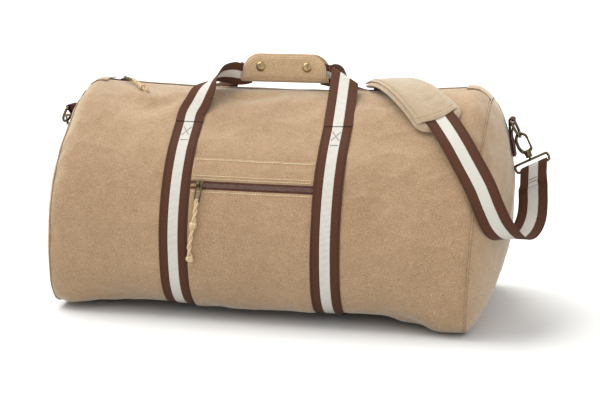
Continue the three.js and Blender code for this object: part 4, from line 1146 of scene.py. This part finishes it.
class End:
    """The place and directions of one end's clip, worked out as a right end and mirrored."""

    def __init__(self, name):
        self.side, self.bar_x, arc, down, self.loop_turn, square, hang = ENDS[name]
        wire = ring_wire(self.bar_x, arc)
        along = unit(ring_wire(self.bar_x, arc + 0.01) - wire)
        down = unit(down)
        self.down = unit(down - along * np.dot(down, along) * square)
        sideways = unit(np.cross(along, self.down))
        self.sideways = sideways * (-1 if sideways[0] < 0 else 1)
        self.origin = wire + self.down * 10.2 * MM
        self.across = -np.cross(self.down, self.sideways)
        self.hang = unit(hang)

    def local(self, points):
        """Points in the hook's own axes, in mm: x sideways, y along the ring's wire, z up."""
        p = np.asarray(points, float) * MM
        return self.origin + p @ np.array([self.sideways, self.across, -self.down])

    def world(self, parts):
        verts, faces, uvs = parts
        return closed((verts * [self.side, 1, 1] + [FRAME_X, 0, 0], faces, uvs))

    def rod(self, points, radius, count, sides=14, loop=False, start=(0, 1, 0)):
        """A bent rod in the hook's own axes."""
        curve = catmull(points, count, loop)
        radii = np.broadcast_to(radius, max(2, np.size(radius)))
        radii = np.interp(np.linspace(0, 1, len(curve)), np.linspace(0, 1, len(radii)), radii)
        direction = self.local(start) - self.origin
        return tube_mesh(self.local(curve), radii * MM, sides, loop, direction)

    def turned(self, profile):
        return turned_mesh(profile, self.origin, -self.down, self.sideways, 24)


def strap_loop(end):
    """The rounded rectangle that the webbing goes through, and its stem in the hook's barrel."""
    half, corner, top, bottom = 23, 3.6, -22.2, -32
    rise, middle = (top - bottom) / 2, (top + bottom) / 2
    right = [(half - corner, top), (half - 0.8, middle + 0.7 * rise), (half, middle),
             (half - 0.8, middle - 0.7 * rise), (half - corner, bottom)]
    left = [(-x, z) for x, z in reversed(right)]
    turn = math.radians(end.loop_turn)
    outline = [(0, top), *right, (0, bottom), *left]
    points = [(x * math.cos(turn), x * math.sin(turn), z) for x, z in outline]
    wire = end.rod(points, LOOP_WIRE, 96, loop=True, start=(-math.sin(turn), math.cos(turn), 0))
    return [wire, end.turned(STEM)]


def d_ring(end):
    slant = np.array([math.sin(RING_SLANT), 0, -math.cos(RING_SLANT)]) * 3 * MM
    bar = np.array([end.bar_x, 0, RING_Z])
    half = RING_HALF
    ring = [bar + [0, y, 0] for y in (half - 3 * MM, half / 2, 0, -half / 2, -half + 3 * MM)]
    ring.append(bar + [0, -half, 0] + slant)
    ring += [ring_wire(end.bar_x, math.pi * i / 8) for i in range(9)]
    ring.append(bar + [0, half, 0] + slant)
    return tube_mesh(catmull(ring, 96, True), RING_WIRE, 14, True, [1, 0, 0.5])


def build_end(name):
    end = End(name)

    def piece(obj_name, parts, body, replaced, material=BRASS):
        mesh = merge([end.world(part) for part in parts])
        make_object(obj_name + name, mesh, material, replaced and replaced + name, body + name)

    piece("ring_", [d_ring(end)], "ring_", "d_ring_")
    crook = end.rod(flat(CROOK), CROOK_RADII, 70)
    foot = end.rod(flat(FOOT), [2.6, 2.4, 2.2, 1.7], 16)
    piece("hook_", [crook, foot, end.turned(BARREL)], "clip_", "snap_hook_")
    gate = end.rod(flat(GATE), [1.5, 1.3, 1.3, 1.2], 18)
    pin = end.rod([(7.2, y, -7.4) for y in (-2.3, 0, 2.3)], 0.8, 6, start=(1, 0, 0))
    piece("gate_", [gate, pin], "gate_", "snap_gate_")
    piece("strap_ring_", strap_loop(end), "loop_", "strap_loop_")

    bar = end.origin + end.down * LOOP_DROP
    width = end.across if end.loop_turn else end.sideways
    out = unit(np.cross(end.hang, width))
    clear = (LOOP_WIRE + 1.6) * MM + WEB_THICK / 2

    def at(a, b):
        return bar + out * a - end.hang * b

    path = [at(-clear + 1.5 * MM, -24 * MM), at(-clear + 1 * MM, -12 * MM)]
    path += [at(-clear * math.cos(math.pi * i / 6), clear * math.sin(math.pi * i / 6)) for i in range(7)]
    path += [at(clear - 1 * MM, -12 * MM), at(clear - 1.5 * MM, -24 * MM)]
    curve = even(catmull(path, 120), 0.9 * MM)
    webbing = ribbon_mesh(curve, np.tile(width, (len(curve), 1)), WEB_WIDTH - 1 * MM)
    piece("webbing_end_", [webbing], "loop_", "strap_end_", WEBBING)
    rows = []
    for drop in (15 * MM, 19 * MM):
        for sign in (1, -1):
            middle = at(sign * (clear - 0.3 * MM), -drop)
            row = middle + width * (np.linspace(-1, 1, 8) * 6.4 * MM)[:, None]
            rows.append(stitch_mesh(row, np.tile(out * sign, (8, 1)), 2.2 * MM, 0.8, 0.45 * MM))
    piece("end_stitches_", rows, "loop_", None, DARK_THREAD)
    ring_tab(name, end)


def ring_tab(name, end):
    """Webbing folded round the ring's bar and sewn down the end panel."""
    side = float(end.side)
    top = skin_point(np.array(side), np.array(1.0))[2]

    def on_panel(z, offset):
        rho = np.abs(z - END_CENTRE_Z) / (top - END_CENTRE_Z)
        x = end_point(side, np.array(rho), np.array(1.0), offset)[0]
        return np.array([abs(x - FRAME_X), 0, z])

    clear = (1.9 + 0.7) * MM + WEB_THICK / 2
    sewn = [210 * MM, 224 * MM, 238 * MM]
    points = [on_panel(z, 1.7 * MM) for z in sewn]
    for turn in np.linspace(math.pi, 0, 9):
        points.append(np.array([end.bar_x + clear * math.cos(turn), 0, RING_Z + clear * math.sin(turn)]))
    points += [on_panel(z, 3.6 * MM) for z in reversed(sewn)]
    curve = even(catmull(points, 160), 0.9 * MM)
    tab = ribbon_mesh(curve, np.tile([0, 1.0, 0], (len(curve), 1)), 27 * MM)
    make_object("webbing_tab_" + name, end.world(tab), TAB_WEBBING, "ring_tab_" + name)


# ---- the shoulder strap ----

# Its course from the right clip to the left one: places in mm with width directions, or places that
# lie flat on the skin, as x, share of the girth, and height above it.
SHOULDER_PATH = [
    ((343.2, -7.5, 182), (0.89, 0, 0.455)),
    ((343.4, -8.4, 168), (0.9, 0, 0.43)),
    ((344.6, -16, 150), (0.96, 0, 0.28)),
    ((344, -31, 134), (1, 0, 0.05)),
    ((339, -54, 122), (1, 0, 0)),
    ((331, -83, 119), (1, 0.02, 0)),
    ((322, -112, 126), (0.98, 0.05, 0.15)),
    ((311, -132, 143), (0.93, 0.1, 0.35)),
    ((301, -138, 165), (0.89, 0.12, 0.45)),
    ((289, -132, 190), (0.87, 0.2, 0.46)),
    ((272, -120, 216), (0.86, 0.25, 0.46)),
    ((254, -104, 241), (0.84, 0.32, 0.42)),
    ((236, -85, 261), (0.78, 0.45, 0.42)),
    ((214, -62, 281), (0.72, 0.6, 0.32)),
    ((190, -38, 297), (0.7, 0.68, 0.2)),
    ((168, -14, 304), (0.7, 0.7, 0.05)),
    ((148, 10, 302), (0.72, 0.68, -0.05)),
    (142, 0.9, 8),
    (146, 0.83, 4.4),
    (144, 0.76, 4.4),
    (132, 0.68, 4.4),
    (106, 0.6, 4.8),
    (66, 0.53, 5),
    (10, 0.48, 5.2),
    (-60, 0.455, 5.2),
    (-130, 0.45, 5.2),
    (-200, 0.455, 5.4),
    (-244, 0.47, 7),
    ((-276, 154, 126), (0.12, -0.1, -0.98)),
    ((-300, 137, 138), (0.12, -0.28, -0.95)),
    ((-313, 110, 153), (0.1, -0.48, -0.87)),
    ((-319, 83, 172), (0, -0.64, -0.77)),
    ((-321.5, 60.6, 191), (-0.3, -0.72, -0.62)),
    ((-321, 52.4, 198.8), (-0.324, -0.726, -0.61)),
]
PAD_FIRST, PAD_LAST = 12, 16.5  # the pad's ends, as positions along the list


def shoulder_points():
    points, normals, widths = [], [], []
    for place in SHOULDER_PATH:
        if len(place) == 2:
            points.append(np.array(place[0]) * MM + [FRAME_X, 0, 0])
            normals.append(None)
        else:
            point, normal = over_skin(place[0] * MM, place[1], place[2] * MM)
            points.append(point)
            normals.append(normal)
    for i, place in enumerate(SHOULDER_PATH):
        flat_on_skin = normals[i] is not None
        side = unit(np.cross(points[i + 1] - points[i - 1], normals[i]) if flat_on_skin else place[1])
        if i and np.dot(side, widths[-1]) < 0:
            side = -side
        widths.append(side)
    return np.array(points), np.array(widths)


def strap_frames(first, last, count):
    """Middle line, width directions and outward directions of part of the shoulder strap."""
    points, widths = shoulder_points()
    top = len(points) - 1
    fine = top * 24 + 1
    line = catmull(points, fine)
    at = np.linspace(first, last, count)
    grid = np.linspace(0, top, fine)
    side = unit(sample(at, grid, catmull(widths, fine)))
    tangent = unit(sample(at, grid, unit(np.gradient(line, axis=0))))
    square = smooth(0, 1.5, np.minimum(at, top - at))[:, None]
    side = unit(side - tangent * np.sum(side * tangent, -1, keepdims=True) * square)
    return sample(at, grid, line), side, unit(np.cross(tangent, side))


def build_shoulder_strap():
    centre, side, normal = strap_frames(0, len(SHOULDER_PATH) - 1, 620)
    strap = make_object("webbing_shoulder", ribbon_mesh(centre, side, across=13), WEBBING, "shoulder_strap")
    seams = []
    for edge in (-16.8 * MM, 16.8 * MM):
        for out in (normal, -normal):
            line = centre + side * edge + out * 0.7 * MM
            seams.append(stitch_mesh(line, out, 3.4 * MM, radius=0.28 * MM))
    edging = make_object("webbing_shoulder_stitches", merge(seams), DARK_THREAD)
    with_pieces = [edging, *build_pad(), softened("slide_adjuster", "strap_adjuster", 0.5 * MM)]


def pad_layer(first, last, half, low, high, round_end=0.0, drape=0.0, opening=0.0):
    """One layer of the pad along the strap: its outer side, inner side, and place on the cloth.

    low and high are offsets from the webbing's middle, drape is how far the long edges hang, and
    opening is how far the middle of an open end is drawn back."""
    centre, side, normal = strap_frames(first, last, 110)
    if normal[0][2] < 0:
        normal = -normal
    length = arc_length(centre)
    ll, ww = np.meshgrid(length, np.linspace(-1, 1, 41), indexing="ij")
    near = np.minimum(ll, length[-1] - ll)
    into = np.clip((round_end - near) / round_end, 0, 1) if round_end else 0
    offset = ww * np.maximum(half * np.sqrt(1 - into**2.4), half * 0.42)
    width = np.abs(offset[:, -1:])
    body = smooth(0, 7 * MM, np.minimum(width - np.abs(offset), near + 2 * MM))
    fold = np.abs(offset) / half
    hang = drape * smooth(0.72, 1.0, fold)
    top = low + (high - low) * (0.35 + 0.65 * body) - hang
    bottom = low + (high - low) * 0.12 * (1 - body) - hang
    grid = centre[:, None] + side[:, None] * offset[..., None]
    if opening:
        ends = smooth(0, 25 * MM, length[-1] - ll) - smooth(0, 25 * MM, ll)
        shift = opening * (1 - fold**2) * ends
        grid = grid + unit(np.gradient(centre, axis=0))[:, None] * shift[..., None]
    soft = (0.7 * MM * noise_at(grid, 30, 6.1) + 0.4 * MM * noise_at(grid, 75, 3.3)) * body
    crease = 0.45 * MM * np.sin(ll / (13 * MM) + 3 * noise_at(grid, 15, 1.1)) * body
    crease *= smooth(0.0, 0.6, 1 - fold)
    outer = grid + normal[:, None] * (top + soft + crease)[..., None]
    return outer, grid + normal[:, None] * bottom[..., None], offset, ll


def build_pad():
    base = pad_layer(PAD_FIRST - 0.12, PAD_LAST + 0.1, 32 * MM, -7.5 * MM, -0.9 * MM, round_end=26 * MM)
    pad = make_object("shoulder_pad", sheet_mesh(*base), PAD_CANVAS, "shoulder_pad_base")
    cover = pad_layer(PAD_FIRST + 0.42, PAD_LAST - 0.1, 28.5 * MM, 1.0 * MM, 2.6 * MM, drape=2.4 * MM,
                      opening=-7 * MM)
    sleeve = make_object("pad_sleeve", sheet_mesh(*cover), PAD_CANVAS, "shoulder_pad_sleeve")
    outer = cover[0]
    n = len(outer)
    normals = unit(np.cross(np.gradient(outer, axis=0), np.gradient(outer, axis=1)))
    if normals[n // 2, 20, 2] < 0:
        normals = -normals
    long_seams = [(slice(4, n - 4), column) for column in (3, 37)]
    end_seams = [(row, slice(2, 39)) for row in (5, n - 6)]
    seams = [stitch_mesh(outer[at], normals[at], radius=0.32 * MM) for at in long_seams + end_seams]
    return pad, sleeve, make_object("pad_stitches", merge(seams), TAN_THREAD)


def softened(name, replaced, width, material=BRASS):
    """A CAD piece's own shape with its edges rounded over."""
    source = frame["nodes"][replaced]
    obj = bpy.data.objects.new(name, source.data.copy())
    bpy.context.collection.objects.link(obj)
    weld = obj.modifiers.new("weld", "WELD")
    weld.merge_threshold = 1e-5
    bevel = obj.modifiers.new("bevel", "BEVEL")
    bevel.width = width
    bevel.segments = 3
    bevel.limit_method = "ANGLE"
    bevel.angle_limit = math.radians(35)
    bevel.use_clamp_overlap = True
    rounded = bpy.data.meshes.new_from_object(obj.evaluated_get(bpy.context.evaluated_depsgraph_get()))
    obj.modifiers.clear()
    obj.data = rounded
    rounded.materials.clear()
    rounded.materials.append(material)
    shade_smooth(rounded, 50)
    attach(obj, source["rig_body"])
    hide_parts(replaced)
    return obj


# ---- pulls and cords ----

PULL_OUTLINE = [
    (-1.5, 0), (-1.5, 2.2), (1.0, 3.2), (6.0, 3.4), (16.0, 3.4), (21.0, 2.8), (23.0, 0),
    (21.0, -2.8), (16.0, -3.4), (6.0, -3.4), (1.0, -3.2), (-1.5, -2.2),
]


def two_sides(axis, hint):
    side = unit(np.cross(axis, hint))
    return side, np.cross(axis, side)


def knot_mesh(centre, axis, size, seed):
    """A small overhand knot: a fat lump of wound turns."""
    axis = unit(axis)
    side, other = two_sides(axis, [0.2, 0.5, 0.8])
    cosines, sines = circle(24)
    parts = []
    for k, (tilt, push, scale) in enumerate(((0.5, -0.35, 0.95), (-0.55, 0.1, 1.05), (0.35, 0.5, 0.9))):
        turn = k * 1.1 + seed
        a = unit(side * math.cos(turn) + other * math.sin(turn))
        b = unit(np.cross(axis, a) + axis * tilt)
        ring = centre + axis * push * size * 0.5 + (cosines * a + sines * b) * size * 0.34 * scale
        parts.append(closed(tube_mesh(ring, size * 0.30, 10, True, axis)))
    return merge(parts)


def fray_mesh(start, axis, length, radius, count, seed):
    """Loose strand ends below a knot."""
    rng = np.random.default_rng(seed)
    axis = unit(axis)
    side, other = two_sides(axis, [0.3, 0.4, 0.8])
    t = np.linspace(0, 1, 6)[:, None]
    parts = []
    for _ in range(count):
        angle = rng.uniform(0, 2 * math.pi)
        spread = rng.uniform(0.05, 0.45)
        far = length * rng.uniform(0.6, 1.0)
        out = side * math.cos(angle) + other * math.sin(angle)
        line = start + axis * far * t + out * (radius * 0.6 + spread * far * t**2)
        parts.append(closed(tube_mesh(line, 0.32 * MM, 5)))
    return merge(parts)


def twin_cord(line, radius, twist):
    """Two strands laid round each other along a line."""
    _, a, b = frames_along(line)
    turn = np.linspace(0, twist * 2 * math.pi, len(line))[:, None]
    parts = []
    for phase in (0, math.pi):
        off = np.cos(turn + phase) * a + np.sin(turn + phase) * b
        parts.append(closed(tube_mesh(line + off * radius * 0.92, radius, 10)))
    return merge(parts)


def build_pull(name, hinge, along, across, out):
    """A flat wire loop with a hinge eye, like a long buckle, and a bar across it."""
    start = hinge + along * 1.5 * MM
    plane = np.array([along, across]) * MM
    line = start + catmull(PULL_OUTLINE, 72, True) @ plane
    bar = even(start + np.array([(4.2, -3.2), (4.2, 3.2)]) @ plane, 1 * MM)
    parts = [closed(tube_mesh(line, 0.85 * MM, 10, True, out)), closed(tube_mesh(bar, 0.8 * MM, 8))]
    make_object("pull_" + name, merge(parts), BRASS, name + "_zip_pull", name + "_pull")
    return start


def hang_cord(name, path, radius, knot, knots, twist):
    """The cord tied to a pull, with knots at shares of its length and a frayed end."""
    body = name + "_pull"
    line = even(catmull(path, 80), 0.8 * MM)
    cord = make_object("cord_" + name, twin_cord(line, radius, twist), CORD, name + "_zip_cord", body)
    parts = []
    for k, share in enumerate(knots):
        i = int(share * (len(line) - 1))
        axis = line[min(i + 1, len(line) - 1)] - line[max(i - 1, 0)]
        parts.append(knot_mesh(line[i], axis, knot, k * 0.9))
    parts.append(fray_mesh(line[-1], line[-1] - line[-4], 7 * MM, radius, 16, 5))
    tied = make_object("cord_knots_" + name, merge(parts), CORD, body=body)


def build_main_pull():
    x = -220 * MM
    top = BAG_HEIGHT + x**2 / (2 * ZIP_RADIUS)
    turn = math.radians(-43)
    along = unit([math.cos(turn), math.sin(turn), -0.04])
    across = np.array([-math.sin(turn), math.cos(turn), 0])
    hinge = np.array([x + FRAME_X, 0, top + 2.95 * MM])
    start = build_pull("main", hinge, along, across, np.cross(along, across))
    shift = np.array([
        [-3, 2.6, -0.5], [2, -2, 0.4], [8, -7.6, -2.6], [14, -12, -5.2], [21, -16.5, -8.6],
        [27, -20.5, -11.8],
    ])
    hang_cord("main", start + along * 22.6 * MM + shift * MM, 1.45 * MM, 7.6 * MM, [0.72], 2.2)


def build_pocket_pull():
    x = -67 * MM
    hinge, out = over_skin(x, -ZIP_LINE, 5.6 * MM)
    target, _ = over_skin(-69 * MM, -0.532, 5 * MM)
    along = unit(target - hinge)
    across = unit(np.cross(out, along))
    start = build_pull("pocket", hinge, along, across, np.cross(along, across))
    path = [start + along * 19 * MM]
    for dx, share in ((-2.5, 0.515), (-4, 0.49), (-7, 0.455), (-9, 0.43), (-8.5, 0.40)):
        path.append(over_skin(x + dx * MM, -share, 6.2 * MM)[0])
    hang_cord("pocket", path, 1.55 * MM, 8.0 * MM, [0.42, 0.97], 3.4)


def build_pulls():
    for side in ("left", "right"):
        softened("zip_tab_" + side, "zip_end_tab_" + side, 0.3 * MM, CANVAS)
    for zip_name in ("main", "pocket"):
        softened("slider_" + zip_name, zip_name + "_zip_slider", 0.35 * MM)
    build_main_pull()
    build_pocket_pull()


build_camera()
build_studio()
build_body()
build_main_zip()
build_pocket()
build_straps()
build_handles()
build_grip()
build_end("right")
build_end("left")
build_shoulder_strap()
build_pulls()

# The CAD nodes that no piece replaces take the looks of their slot.
LOOKS = {
    "canvas": CANVAS, "canvas_light": PAD_CANVAS, "webbing": WEBBING, "zip_tape": TAPE,
    "zip_teeth": TEETH, "brass": BRASS, "cotton_cord": CORD, "cotton_lining": LINING,
    "stiff_board": BOARD,
}
slots = {part["node"]: part["material_slot"] for part in frame["record"]["subparts"]}
for name, obj in frame["nodes"].items():
    if not obj.hide_render:
        obj.data.materials.clear()
        obj.data.materials.append(LOOKS[slots[name]])
